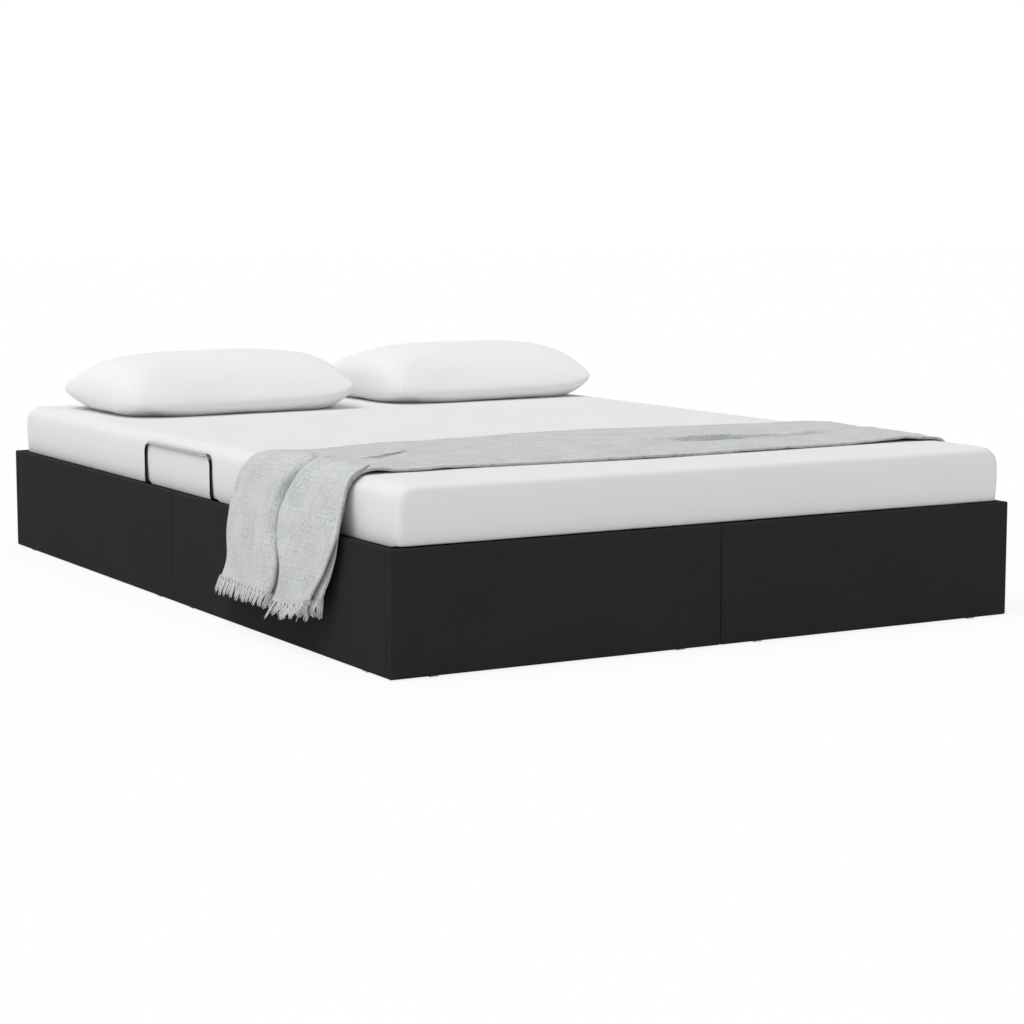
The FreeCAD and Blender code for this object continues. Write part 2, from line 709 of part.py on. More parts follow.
def clamp_bolts():
    """One bolt down through each clamp into the tube."""
    height = 2 * ROD_RADIUS + CLAMP_ROOF
    grip = height + TUBE_WALL + CLAMP_BOLT_BITE
    places = []
    for spot, inwards, across in retainer_feet():
        seat = spot + inwards * (CLAMP_LENGTH / 2) + across * CLAMP_BOLT_AT + V(0, 0, height)
        places.append((seat, V(0, 0, -1), grip))
    return places


PLATFORM_BOLTS = lift_bolts() + clamp_bolts()


def square_tube(x0, x1, y0, y1, axis):
    """Hollow square tube with eased edges, at the platform's height."""
    outer = bevel_edges(box(x0, x1, y0, y1, TUBE_LOW, TUBE_TOP), axis, TUBE_BEVEL)
    wall_x = 0 if axis.x else TUBE_WALL
    wall_y = 0 if axis.y else TUBE_WALL
    inner = box(x0 + wall_x, x1 - wall_x, y0 + wall_y, y1 - wall_y,
                TUBE_LOW + TUBE_WALL, TUBE_TOP - TUBE_WALL)
    return bored(outer.cut(inner), PLATFORM_BOLTS)


def make_tubes():
    """Welded frame: two long tubes, one across each end, one down the middle, and end caps."""
    lengthwise = V(0, 1, 0)
    crosswise = V(1, 0, 0)
    half = TUBE / 2
    export("right_side_tube", square_tube(TUBE_IN, TUBE_OUT, -PLATFORM_END, PLATFORM_END, lengthwise))
    export("left_side_tube", square_tube(-TUBE_OUT, -TUBE_IN, -PLATFORM_END, PLATFORM_END, lengthwise))
    export("head_tube", square_tube(-TUBE_IN, TUBE_IN, CROSS_IN, PLATFORM_END, crosswise))
    export("foot_tube", square_tube(-TUBE_IN, TUBE_IN, -PLATFORM_END, -CROSS_IN, crosswise))
    export("centre_tube", square_tube(-half, half, -CROSS_IN, CROSS_IN, lengthwise))
    inset = TUBE_WALL + CAP_PLAY
    lid = box(TUBE_IN, TUBE_OUT, PLATFORM_END, PLATFORM_END + CAP_THICK, TUBE_LOW, TUBE_TOP)
    lid = bevel_edges(lid, lengthwise, TUBE_BEVEL)
    plug = box(TUBE_IN + inset, TUBE_OUT - inset, PLATFORM_END - CAP_PLUG, PLATFORM_END,
               TUBE_LOW + inset, TUBE_TOP - inset)
    cap = lid.fuse(plug).removeSplitter()
    pair = [cap, mirror_x(cap)]
    export("tube_end_caps", pair + [mirror_y(one) for one in pair])


def make_lift_brackets():
    """Plate that hangs from each side tube and takes the upper ends of both arms."""
    bolts = lift_bolt_points()
    edge = LIFT_BRACKET_EDGE
    outline = (
        (LONG_END[0] - edge, LONG_END[1] - edge),
        (LONG_END[0] + edge, LONG_END[1] - edge),
        (SHORT_END[0] + 2 * edge, SHORT_END[1] - edge),
        (bolts[-1][0] + edge, bolts[-1][1] - edge),
        (bolts[-1][0] + edge, TUBE_TOP),
        (bolts[0][0] - edge, TUBE_TOP),
    )
    shape = plate(outline, PLATE_IN, PLATE_OUT)
    for point in bolts:
        shape = shape.fuse(boss(point, LIFT_BOSS, TUBE_OUT, PLATE_OUT))
    shape = shape.cut(disc(LONG_END, PIN_RADIUS + PIN_RUN, PLATE_IN, PLATE_OUT))
    shape = shape.cut(disc(SHORT_END, PIN_RADIUS + OPEN_PIVOT_PLAY, PLATE_IN, PLATE_OUT))
    both_sides("lift_bracket", bored(shape.removeSplitter(), PLATFORM_BOLTS))
    export("platform_bolts", [bolt(*place) for place in PLATFORM_BOLTS])


def slat_centres():
    """Middles of the slats along Y, set so that the retainer legs fall between them."""
    steps = range(-SLATS_EACH_WAY, SLATS_EACH_WAY + 1)
    return [RETAINER_CENTRE + step * SLAT_PITCH for step in steps]


def slat(y):
    """Sprung plywood slat of the right column, bowed upwards."""
    x0 = CENTRE_HOLDER / 2 - CENTRE_POCKET + SLAT_PLAY
    x1 = TUBE_IN + SIDE_POCKET - SLAT_PLAY
    side = y - SLAT_WIDTH / 2
    thick = V(0, 0, SLAT_THICK)
    a = V(x0, side, SLAT_SEAT)
    b = V(x1, side, SLAT_SEAT)
    crown = V((x0 + x1) / 2, side, SLAT_SEAT + SLAT_RISE)
    edges = [
        Part.Arc(a, crown, b).toShape(),
        Part.makeLine(b, b + thick),
        Part.Arc(b + thick, crown + thick, a + thick).toShape(),
        Part.makeLine(a + thick, a),
    ]
    return Part.Face(Part.Wire(edges)).extrude(V(0, SLAT_WIDTH, 0))


def holder(x0, x1, y, pockets):
    """Plastic slat holder on a tube, with a pocket for each slat end."""
    half = HOLDER_WIDTH / 2
    block = box(x0, x1, y - half, y + half, TUBE_TOP, TUBE_TOP + HOLDER_HEIGHT)
    room = half - HOLDER_CHEEK
    low = TUBE_TOP + HOLDER_FLOOR
    for p0, p1 in pockets:
        block = block.cut(box(p0, p1, y - room, y + room, low, low + POCKET_HEIGHT))
    return block


def make_slats():
    """Two columns of slats, their outer holders and the double holders on the centre tube."""
    slats = []
    holders = []
    edge = CENTRE_HOLDER / 2
    for y in slat_centres():
        slats.append(slat(y))
        outer = holder(TUBE_IN, TUBE_OUT, y, [(TUBE_IN, TUBE_IN + SIDE_POCKET)])
        pockets = [(edge - CENTRE_POCKET, edge), (-edge, CENTRE_POCKET - edge)]
        holders += [outer, mirror_x(outer), holder(-edge, edge, y, pockets)]
    export("right_slats", slats)
    export("left_slats", [mirror_x(one) for one in slats])
    export("slat_holders", holders)


def bent_rod(corners, bends):
    """Rod along straight runs joined by square bends, from a many-sided section carried round them."""
    way = corners[1].sub(corners[0])
    way.normalize()
    across = way.cross(V(0, 0, 1))
    ring = []
    for step in range(ROD_SIDES + 1):
        turn = 2 * math.pi * step / ROD_SIDES
        spoke = across * math.cos(turn) + V(0, 0, 1) * math.sin(turn)
        ring.append(corners[0] + spoke * ROD_RADIUS)
    sections = [Part.makePolygon(ring)]
    start = corners[0]
    for corner, after, bend in zip(corners[1:], corners[2:], bends):
        arrive = corner.sub(start)
        arrive.normalize()
        leave = after.sub(corner)
        leave.normalize()
        first = corner - arrive * bend
        sections.append(sections[-1].translated(first.sub(start)))
        for step in range(BEND_STEPS):
            turned = sections[-1].copy()
            turned.rotate(first + leave * bend, arrive.cross(leave), QUARTER_TURN / BEND_STEPS)
            sections.append(turned)
        start = corner + leave * bend
    sections.append(sections[-1].translated(corners[-1].sub(start)))
    return Part.makeLoft(sections, True, True)


def retainer_bends(foot):
    """Bend radii along a retainer, from one foot over the top to the other."""
    return (foot, RETAINER_TOP_BEND, RETAINER_TOP_BEND, foot)


def make_retainers():
    """Bent rods on both long sides and at the head end, and the clamps that hold their feet."""
    low = TUBE_TOP + ROD_RADIUS
    half = RETAINER_SPACING / 2
    plane = RETAINER_PLANE
    tail = TUBE_IN + ROD_RADIUS
    y0 = RETAINER_CENTRE - half
    y1 = RETAINER_CENTRE + half
    side = [V(tail, y0, low), V(plane, y0, low), V(plane, y0, RETAINER_TOP),
            V(plane, y1, RETAINER_TOP), V(plane, y1, low), V(tail, y1, low)]
    both_sides("retainer", bent_rod(side, retainer_bends(RETAINER_FOOT_BEND)))
    plane = HEAD_RETAINER_PLANE
    tail = CROSS_IN + ROD_RADIUS
    head = [V(-half, tail, low), V(-half, plane, low), V(-half, plane, RETAINER_TOP),
            V(half, plane, RETAINER_TOP), V(half, plane, low), V(half, tail, low)]
    export("head_retainer", bent_rod(head, retainer_bends(HEAD_FOOT_BEND)))

    clamps = []
    height = 2 * ROD_RADIUS + CLAMP_ROOF
    for spot, inwards, across in retainer_feet():
        a = spot - across * (ROD_RADIUS + CLAMP_ROOF)
        b = spot + inwards * CLAMP_LENGTH + across * (CLAMP_BOLT_AT + BOLT_ACROSS)
        block = box(a.x, b.x, a.y, b.y, TUBE_TOP, TUBE_TOP + height)
        c = spot - across * (ROD_RADIUS + BOLT_PLAY)
        d = spot + inwards * CLAMP_LENGTH + across * (ROD_RADIUS + BOLT_PLAY)
        groove = box(c.x, d.x, c.y, d.y, TUBE_TOP, TUBE_TOP + 2 * ROD_RADIUS + BOLT_PLAY)
        clamps.append(bored(block.cut(groove), PLATFORM_BOLTS))
    export("retainer_clamps", clamps)


# Bedding


def mattress_profile():
    """Inset from the widest outline and height of each level of the mattress, bottom to top."""
    levels = []
    for step in range(ROLL_STEPS, -1, -1):
        turn = step / ROLL_STEPS * math.pi / 2
        inset = MATTRESS_DRAW + MATTRESS_LOW_ROLL * (1 - math.cos(turn))
        levels.append((inset, MATTRESS_LOW + MATTRESS_LOW_ROLL * (1 - math.sin(turn))))
    edge_top = MATTRESS_TOP - MATTRESS_CROWN
    levels.append((0.0, (MATTRESS_LOW + edge_top) / 2))
    for step in range(ROLL_STEPS + 1):
        turn = step / ROLL_STEPS * math.pi / 2
        inset = MATTRESS_DRAW + MATTRESS_ROLL * (1 - math.cos(turn))
        levels.append((inset, edge_top - MATTRESS_ROLL * (1 - math.sin(turn))))
    levels.append((CROWN_INSET, MATTRESS_TOP))
    return levels


def rounded_outline(half_x, half_y, radius, z):
    """Points of a rectangle with rounded corners at one height."""
    points = []
    for corner, (sx, sy) in enumerate(((1, 1), (-1, 1), (-1, -1), (1, -1))):
        for step in range(CORNER_STEPS + 1):
            turn = math.radians(QUARTER_TURN * (corner + step / CORNER_STEPS))
            x = sx * (half_x - radius) + radius * math.cos(turn)
            y = sy * (half_y - radius) + radius * math.sin(turn)
            points.append(V(x, y, z))
    return points


def make_mattress():
    """Mattress with rolled edges, sides drawn in above and below, and a low crown."""
    half = (MATTRESS_END + MATTRESS_FOOT) / 2
    rings = []
    for inset, z in mattress_profile():
        rings.append(rounded_outline(MATTRESS_SIDE - inset, half - inset, MATTRESS_CORNER, z))
    shape = skin(rings)
    shape.translate(V(0, MATTRESS_END - half, 0))
    export("mattress", shape)


def pillow_outline(half_x, half_y, bulge, z):
    """Four bowed sides between the corners of a pillow; a negative bulge draws the sides in."""
    corners = [V(half_x, -half_y, z), V(half_x, half_y, z), V(-half_x, half_y, z), V(-half_x, -half_y, z)]
    ways = [V(1, 0, 0), V(0, 1, 0), V(-1, 0, 0), V(0, -1, 0)]
    points = []
    for index, way in enumerate(ways):
        a = corners[index]
        b = corners[(index + 1) % 4]
        for step in range(PILLOW_STEPS):
            share = step / PILLOW_STEPS
            points.append(a + (b - a) * share + way * (bulge * 4 * share * (1 - share)))
    return points


def pillow(x, y):
    """Plump pillow: drawn-in seam with pointed corners, crowned above, flattened where it rests."""
    low = MATTRESS_TOP + BED_CLEAR
    levels = ((0.70, 0.0, 1.0), (0.86, 0.12, 0.9), (0.97, 0.24, 0.1), (1.0, 0.34, -0.8), (0.96, 0.44, 0.1),
              (0.87, 0.62, 0.8), (0.72, 0.80, 1.2), (0.50, 0.93, 1.2), (0.22, 1.0, 0.8))
    rings = []
    for size, height, swell in levels:
        bulge = swell * (PILLOW_BELLY if swell > 0 else PILLOW_DRAW)
        z = low + height * PILLOW_HEIGHT
        rings.append(pillow_outline(size * PILLOW_WIDTH / 2, size * PILLOW_DEPTH / 2, bulge, z))
    shape = skin(rings)
    shape.translate(V(x, y, 0))
    return shape


def throw_stations():
    """Places of the throw's sections from the left hem to the middle: point, outward way, edges, wave."""
    hang = HALF_WIDTH + THROW_CLEAR
    rim = FRAME_HEIGHT + THROW_CLEAR * 4
    out = V(-1, 0, 0)
    stations = []
    for share in (0.0, 0.5, 1.0):
        z = THROW_HEM_Z + share * (rim - THROW_HEM_Z)
        wave = THROW_HEM_WAVE + share * (THROW_FALL_WAVE - THROW_HEM_WAVE)
        stations.append((V(-hang, 0, z), out, (1 - share) * THROW_HEM_SWING, wave))
    upper = mattress_profile()[ROLL_STEPS + 2:]
    for step, (inset, z) in enumerate(upper):
        turn = min(step / ROLL_STEPS, 1.0) * math.pi / 2
        way = V(-math.cos(turn), 0, math.sin(turn))
        spot = V(inset - MATTRESS_SIDE, 0, z) + way * BED_CLEAR
        stations.append((spot, way, 0.0, THROW_TOP_WAVE))
    return stations


def throw_section(spot, way, swing, wave):
    """Closed strip across the throw: two waved lines, one thickness apart."""
    y0 = THROW_FOOT_Y + swing
    count = THROW_WAVES * WAVE_STEPS
    lower = []
    upper = []
    for step in range(count + 1):
        lift = wave * (1 - math.cos(2 * math.pi * step / WAVE_STEPS))
        place = spot + V(0, y0 + THROW_WIDTH * step / count, 0) + way * lift
        lower.append(place)
        upper.append(place + way * THROW_THICK)
    return lower + upper[::-1]


def make_bedding():
    """Pillows on the mattress and the throw over both sides, with its main folds."""
    side = MATTRESS_SIDE - PILLOW_WIDTH / 2
    head = MATTRESS_END - PILLOW_DEPTH / 2
    export("left_pillow", pillow(LEFT_PILLOW_SIDE - side, head - LEFT_PILLOW_HEAD))
    export("right_pillow", pillow(side - RIGHT_PILLOW_SIDE, head - RIGHT_PILLOW_HEAD))
    left = throw_stations()
    right = []
    for spot, way, swing, wave in reversed(left):
        right.append((V(-spot.x, 0, spot.z), V(-way.x, 0, way.z), swing, wave))
    sections = [throw_section(*station) for station in left + right]
    export("throw", skin(sections))


make_panels()
make_corner_brackets()
make_seam_plates()
make_glides()
make_centre_board()
make_floor()
make_ledgers()
make_base_plates()
make_long_arms()
make_short_arms()
make_struts()
make_tubes()
make_lift_brackets()
make_slats()
make_retainers()
make_mattress()
make_bedding()
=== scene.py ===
"""Looks of an ottoman bed, in metres: fabric panels, lifting platform, mattress, pillows, throw."""
import logging
import math
from dataclasses import dataclass
from enum import Enum
from typing import Any, Callable, Mapping, Optional, Sequence, Union

import bpy
import numpy as np
from bpy.types import Material, Mesh, Object
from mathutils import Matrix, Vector, noise


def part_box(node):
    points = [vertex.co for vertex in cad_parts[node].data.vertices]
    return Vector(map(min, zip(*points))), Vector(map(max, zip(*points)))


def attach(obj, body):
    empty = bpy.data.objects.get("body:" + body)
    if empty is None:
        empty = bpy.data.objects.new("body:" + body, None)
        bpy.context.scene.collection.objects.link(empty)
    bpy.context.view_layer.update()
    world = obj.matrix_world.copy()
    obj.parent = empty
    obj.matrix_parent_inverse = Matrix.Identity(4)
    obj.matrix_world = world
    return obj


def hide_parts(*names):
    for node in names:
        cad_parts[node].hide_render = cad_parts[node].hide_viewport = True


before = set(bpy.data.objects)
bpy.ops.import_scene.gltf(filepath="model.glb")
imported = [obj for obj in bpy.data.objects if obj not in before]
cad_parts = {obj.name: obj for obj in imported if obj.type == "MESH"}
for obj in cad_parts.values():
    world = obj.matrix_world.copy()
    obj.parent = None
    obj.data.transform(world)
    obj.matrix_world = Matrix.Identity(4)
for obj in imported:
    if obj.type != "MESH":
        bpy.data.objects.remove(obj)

log = logging.getLogger("ottoman_bed")

Value = Union["Sock", float, Sequence[float]]
Colour = tuple[float, float, float, float]
Array = np.ndarray
Triple = tuple[float, float, float]
Pair = tuple[float, float]

CLOTH_UV = "cloth"
WHITE: Colour = (1.0, 1.0, 1.0, 1.0)
UP = np.array([0.0, 0.0, 1.0])
LEVEL = np.array([1.0, 1.0, 0.0])
QUAD = ((0, 0), (1, 0), (1, 1), (0, 1))
TINY = 1e-9
TOUCH = 1e-5


class Body(Enum):
    """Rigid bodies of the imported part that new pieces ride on."""

    BASE = "base"
    PLATFORM = "platform"


class Slot(Enum):
    """Material slots of the record, passed along with each new piece."""

    PANEL = "panel_fabric"
    MATTRESS = "mattress_fabric"
    PILLOW = "pillow_fabric"
    THROW = "throw_fabric"
    ROD = "retainer_rod"
    SLAT = "slat"
    BOLT = "bolt"


def levels(red: float, green: float, blue: float) -> Colour:
    """Linear colour of three display levels from 0 to 255, by the sRGB curve.

    Args:
        red, green, blue: display levels.

    Returns:
        The colour with full alpha.
    """
    parts = []
    for level in (red, green, blue):
        share = level / 255
        parts.append(share / 12.92 if share <= 0.04045 else ((share + 0.055) / 1.055) ** 2.4)
    return (parts[0], parts[1], parts[2], 1.0)


def grey(level: float) -> Colour:
    """Linear colour of one display level."""
    return levels(level, level, level)


def lifted(colour: Colour, gain: float, lift: float) -> Colour:
    """Lighter form of a colour, for its rubbed or faded patches."""
    return tuple(min(1.0, part * gain + lift) for part in colour[:3]) + (1.0,)


def both(name: str) -> tuple[str, str]:
    """Names of a left and a right node."""
    return "left_" + name, "right_" + name


# Node trees as Python expressions


def operator(operation: str, swapped: bool = False) -> Callable[["Sock", Value], "Sock"]:
    """Make the method of an operator.

    Args:
        operation: what its Math node does.
        swapped: whether the socket stands on the right.

    Returns:
        The method.
    """
    def method(sock: "Sock", value: Value) -> "Sock":
        """Add the operator's Math node."""
        return sock.maths(operation, *((value, sock) if swapped else (sock, value)))
    return method


class Sock:
    """An output socket that takes part in Python expressions."""

    __add__, __radd__ = operator("ADD"), operator("ADD", True)
    __sub__, __rsub__ = operator("SUBTRACT"), operator("SUBTRACT", True)
    __mul__, __truediv__ = operator("MULTIPLY"), operator("DIVIDE")

    def __init__(self, tree: "Tree", socket: bpy.types.NodeSocket) -> None:
        """Keep the tree and the socket."""
        self.tree = tree
        self.socket = socket

    def other(self, name: Union[str, int]) -> "Sock":
        """Another output of the same node."""
        return Sock(self.tree, self.socket.node.outputs[name])

    def maths(self, operation: str, *values: Value) -> "Sock":
        """Add a Math node with these inputs."""
        return self.tree.add("ShaderNodeMath", dict(enumerate(values)), {"operation": operation})

    def sine(self) -> "Sock":
        """Sine of an angle in radians."""
        return self.maths("SINE", self)

    def absolute(self) -> "Sock":
        """Value without its sign."""
        return self.maths("ABSOLUTE", self)

    def over(self, edge: float, width: float) -> "Sock":
        """Soft step from 0 to 1 about an edge."""
        span = {0: self, 1: edge - width, 2: edge + width}
        return self.tree.add("ShaderNodeMapRange", span, {"interpolation_type": "SMOOTHSTEP"})


class Tree:
    """A shader or geometry tree that nodes are added to by one method."""

    def __init__(self, tree: bpy.types.NodeTree) -> None:
        """Keep the tree."""
        self.tree = tree

    def add(self, kind: str, inputs: Optional[Mapping[Union[str, int], Any]] = None,
            settings: Optional[Mapping[str, Any]] = None,
            out: Union[str, int] = 0) -> Optional[Sock]:
        """Add a node, its settings first and then its sockets.

        Args:
            kind: the node's type.
            inputs: values or linked sockets by name or place.
            settings: properties of the node.
            out: the output that is returned.

        Returns:
            The chosen output, or None where the node has no outputs.
        """
        node = self.tree.nodes.new(kind)
        for key, value in (settings or {}).items():
            setattr(node, key, value)
        for key, value in (inputs or {}).items():
            if isinstance(value, Sock):
                self.tree.links.new(value.socket, node.inputs[key])
            else:
                node.inputs[key].default_value = value
        return Sock(self, node.outputs[out]) if len(node.outputs) else None

    def parts(self, vector: Sock) -> tuple[Sock, Sock, Sock]:
        """The three parts of a vector."""
        first = self.add("ShaderNodeSeparateXYZ", {0: vector})
        return first, first.other(1), first.other(2)

    def mix(self, share: Value, first: Any, second: Any) -> Sock:
        """Colour between two others."""
        return self.add("ShaderNodeMix", {0: share, 6: first, 7: second}, {"data_type": "RGBA"}, 2)

    def stretched(self, vector: Sock, scale: Triple) -> Sock:
        """Coordinates scaled by a factor on each axis."""
        return self.add("ShaderNodeMapping", {0: vector, 3: scale})

    def grain(self, vector: Sock, scale: Union[float, Triple], detail: float = 2.0) -> Sock:
        """Noise from 0 to 1, drawn out by its scale, which is one for all axes or one for each.

        Args:
            vector: coordinates.
            scale: how many times finer than a metre it is.
            detail: octaves of the noise.

        Returns:
            The noise.
        """
        place = self.stretched(vector, scale if isinstance(scale, tuple) else (scale,) * 3)
        inputs = {"Vector": place, "Scale": 1.0, "Detail": detail, "Roughness": 0.55}
        return self.add("ShaderNodeTexNoise", inputs)


class Surface(Tree):
    """A new material with one Principled shader."""

    def __init__(self, name: str) -> None:
        """Make the empty material.

        Args:
            name: the material's name.
        """
        self.material = bpy.data.materials.new(name)
        self.material.use_nodes = True
        self.material.node_tree.nodes.clear()
        super().__init__(self.material.node_tree)

    def place(self) -> Sock:
        """Object coordinates, which are the part's own frame."""
        return self.add("ShaderNodeTexCoord", out="Object")

    def cloth(self) -> Sock:
        """Coordinates along the threads, in metres."""
        return self.add("ShaderNodeUVMap", settings={"uv_map": CLOTH_UV})

    def bump(self, height: Sock, depth: float) -> Sock:
        """Normal from a height between 0 and 1."""
        return self.add("ShaderNodeBump", {"Strength": 1.0, "Distance": depth, "Height": height})

    def done(self, **sockets: Any) -> Material:
        """Join the shader to the output.

        Args:
            sockets: the shader's inputs, named with underscores.

        Returns:
            The finished material.
        """
        names = (key.replace("_", " ").title().replace("Ior", "IOR") for key in sockets)
        shader = self.add("ShaderNodeBsdfPrincipled", dict(zip(names, sockets.values())))
        self.add("ShaderNodeOutputMaterial", {"Surface": shader})
        return self.material


# Finishes, whose scales say how many times finer than a metre they are


@dataclass(frozen=True)
class WovenCloth:
    """Woven cloth with slubs: lighter and darker threads both ways along its own coordinates."""

    name: str
    dark: Colour
    light: Colour
    thread: float
    slub: float
    relief: float
    rough: float
    gloss: float
    slub_run: float = 28.0
    slub_width: float = 1.1
    cloud: float = 5.0

    def make(self) -> Material:
        """Build the material.

        Returns:
            The material, which needs cloth coordinates.
        """
        surface = Surface(self.name)
        uv = surface.cloth()
        x, y, _ = surface.parts(uv)
        pitch = math.pi / self.thread
        fine = self.slub_width / self.thread
        weave = (x * pitch).sine() * (y * pitch).sine() * 0.5 + 0.5
        along = surface.grain(uv, (self.slub_run, fine, 1.0))
        across = surface.grain(uv, (fine, self.slub_run, 1.0))
        cloud = surface.grain(uv, self.cloud)
        slubs = (along + across) * 0.5
        tone = (slubs - 0.5) * self.slub + (cloud - 0.5) * 0.35 + weave * 0.25 + 0.375
        return surface.done(base_color=surface.mix(tone, self.dark, self.light),
                            roughness=(slubs - 0.5) * 0.15 + self.rough,
                            normal=surface.bump(weave * 0.5 + slubs, self.relief),
                            specular_ior_level=self.gloss)


@dataclass(frozen=True)
class LooseWeave:
    """Coarse open weave of a blanket: ribs along both threads, flecked yarn and painted shade in
    the gaps between its yarns.
    """

    name: str
    # Painted shade for the gaps between the yarns
    gap_shade: Colour
    body: Colour
    fleck: Colour
    yarn: float
    relief: float
    wander: float = 90.0
    hair: float = 700.0
    felt: float = 14.0
    slack: Triple = (105.0, 190.0, 1.0)
    slub_along: Triple = (130.0, 12.0, 1.0)
    slub_across: Triple = (12.0, 300.0, 1.0)

    def make(self) -> Material:
        """Build the material.

        Returns:
            The material, which needs cloth coordinates.
        """
        surface = Surface(self.name)
        uv = surface.cloth()
        wander = surface.grain(uv, self.wander) * 1.4
        x, y, _ = surface.parts(uv)
        pitch = math.pi / self.yarn
        warp = (x * (pitch * 0.6) + wander).sine().absolute()
        weft = (y * pitch + wander).sine().absolute()
        hairs = surface.grain(uv, self.hair, 3.0)
        slubs = (surface.grain(uv, self.slub_along) + surface.grain(uv, self.slub_across)) * 0.5
        # Patches with loose yarn show the painted shade of the gaps most
        patch = surface.grain(uv, self.felt).over(0.5, 0.14) * 0.6 + 0.4
        loose = surface.grain(uv, self.slack).over(0.5, 0.2)
        # Mask of the gaps between the yarns, where painted shade darkens the colour
        gap_shade_mask = (1 - warp * 0.6 - weft * 0.4).over(0.45, 0.4) * loose * patch
        colour = surface.mix((slubs - 0.5) * 2.6 + hairs * 0.5 + 0.25, self.body, self.fleck)
        height = (warp + weft) * 0.35 * patch + hairs * 0.3 + slubs * 0.8
        # The gaps take the shade colour: painted shade between the yarns
        return surface.done(base_color=surface.mix(gap_shade_mask * 0.9, colour, self.gap_shade),
                            roughness=0.9 + gap_shade_mask * 0.08, specular_ior_level=0.6,
                            normal=surface.bump(height, self.relief))


@dataclass(frozen=True)
class Paint:
    """Baked paint on steel, with orange peel and rubbed patches."""

    name: str
    colour: Colour
    rough: float
    coat: float
    relief: float
    peel: float = 700.0
    rub: float = 14.0

    def make(self) -> Material:
        """Build the material.

        Returns:
            The material.
        """
        surface = Surface(self.name)
        place = surface.place()
        peel = surface.grain(place, self.peel, 1.0)
        rub = surface.grain(place, self.rub, 4.0)
        rubbed = lifted(self.colour, 1.5, 0.004)
        return surface.done(base_color=surface.mix(rub.over(0.55, 0.2), self.colour, rubbed),
                            roughness=(rub - 0.5) * 0.2 + self.rough,
                            normal=surface.bump(peel, self.relief),
                            coat_weight=self.coat, coat_roughness=0.12)


@dataclass(frozen=True)
class BareMetal:
    """Plated or polished metal with drawn streaks and a cloudy plating."""

    name: str
    colour: Colour
    tint: Colour
    rough: float
    streak: Triple
    cloud: float = 30.0
    relief: float = 0.00002

    def make(self) -> Material:
        """Build the material.

        Returns:
            The material.
        """
        surface = Surface(self.name)
        place = surface.place()
        drawn = surface.grain(place, self.streak, 2.0)
        cloud = surface.grain(place, self.cloud, 3.0)
        return surface.done(base_color=surface.mix(cloud.over(0.5, 0.2), self.colour, self.tint),
                            roughness=(drawn - 0.5) * 0.25 + (cloud - 0.5) * 0.1 + self.rough,
                            normal=surface.bump(drawn, self.relief), metallic=1.0)


@dataclass(frozen=True)
class Wood:
    """Sawn or laminated wood, its grain drawn out by a scale on each axis."""

    name: str
    dark: Colour
    light: Colour
    grain: Triple
    layers: float
    rough: float
    relief: float = 0.00012

    def make(self) -> Material:
        """Build the material.

        Returns:
            The material, with glue lines on its edges where it has layers.
        """
        surface = Surface(self.name)
        place = surface.place()
        lines = surface.grain(place, self.grain, 4.0)
        cloud = surface.grain(place, tuple(part * 0.12 for part in self.grain), 2.0)
        colour = surface.mix(lines * 0.6 + cloud * 0.6 - 0.1, self.dark, self.light)
        if self.layers:
            glue = (surface.parts(place)[2] * (math.pi / self.layers)).sine().absolute()
            facing = surface.add("ShaderNodeNewGeometry", out="Normal")
            upright = surface.parts(facing)[2].absolute()
            line = (1 - glue.over(0.2, 0.15)) * (1 - upright.over(0.5, 0.2))
            colour = surface.mix(line * 0.6, colour, self.dark)
        return surface.done(base_color=colour, roughness=lines * 0.15 + self.rough,
                            normal=surface.bump(lines, self.relief))


@dataclass(frozen=True)
class PressedBoard:
    """Board of pressed chips: specks of several tones, a little rough."""

    name: str
    dark: Colour
    light: Colour
    chip: float
    flat: Triple = (1.0, 1.0, 1.6)
    dust: float = 400.0
    relief: float = 0.0001

    def make(self) -> Material:
        """Build the material.

        Returns:
            The material.
        """
        surface = Surface(self.name)
        place = surface.stretched(surface.place(), self.flat)
        cells = {"Vector": place, "Scale": 1.0 / self.chip}
        chips = surface.add("ShaderNodeTexVoronoi", cells, out="Color")
        speck = surface.add("ShaderNodeSeparateColor", {0: chips})
        dust = surface.grain(place, self.dust)
        return surface.done(base_color=surface.mix(speck * 0.7 + dust * 0.3, self.dark, self.light),
                            roughness=speck * 0.1 + 0.75, normal=surface.bump(speck, self.relief))


@dataclass(frozen=True)
class Moulded:
    """Moulded plastic or rubber with a fine spark texture."""

    name: str
    colour: Colour
    rough: float
    spark: float = 1500.0
    bloom: float = 20.0
    relief: float = 0.00008

    def make(self) -> Material:
        """Build the material.

        Returns:
            The material.
        """
        surface = Surface(self.name)
        place = surface.place()
        spark = surface.grain(place, self.spark, 1.0)
        bloom = surface.grain(place, self.bloom, 3.0)
        faded = lifted(self.colour, 1.35, 0.003)
        return surface.done(base_color=surface.mix(bloom * 0.8, self.colour, faded),
                            roughness=(bloom - 0.5) * 0.2 + spark * 0.08 + self.rough,
                            normal=surface.bump(spark, self.relief))


Finish = Union[WovenCloth, LooseWeave, Paint, BareMetal, Wood, PressedBoard, Moulded]

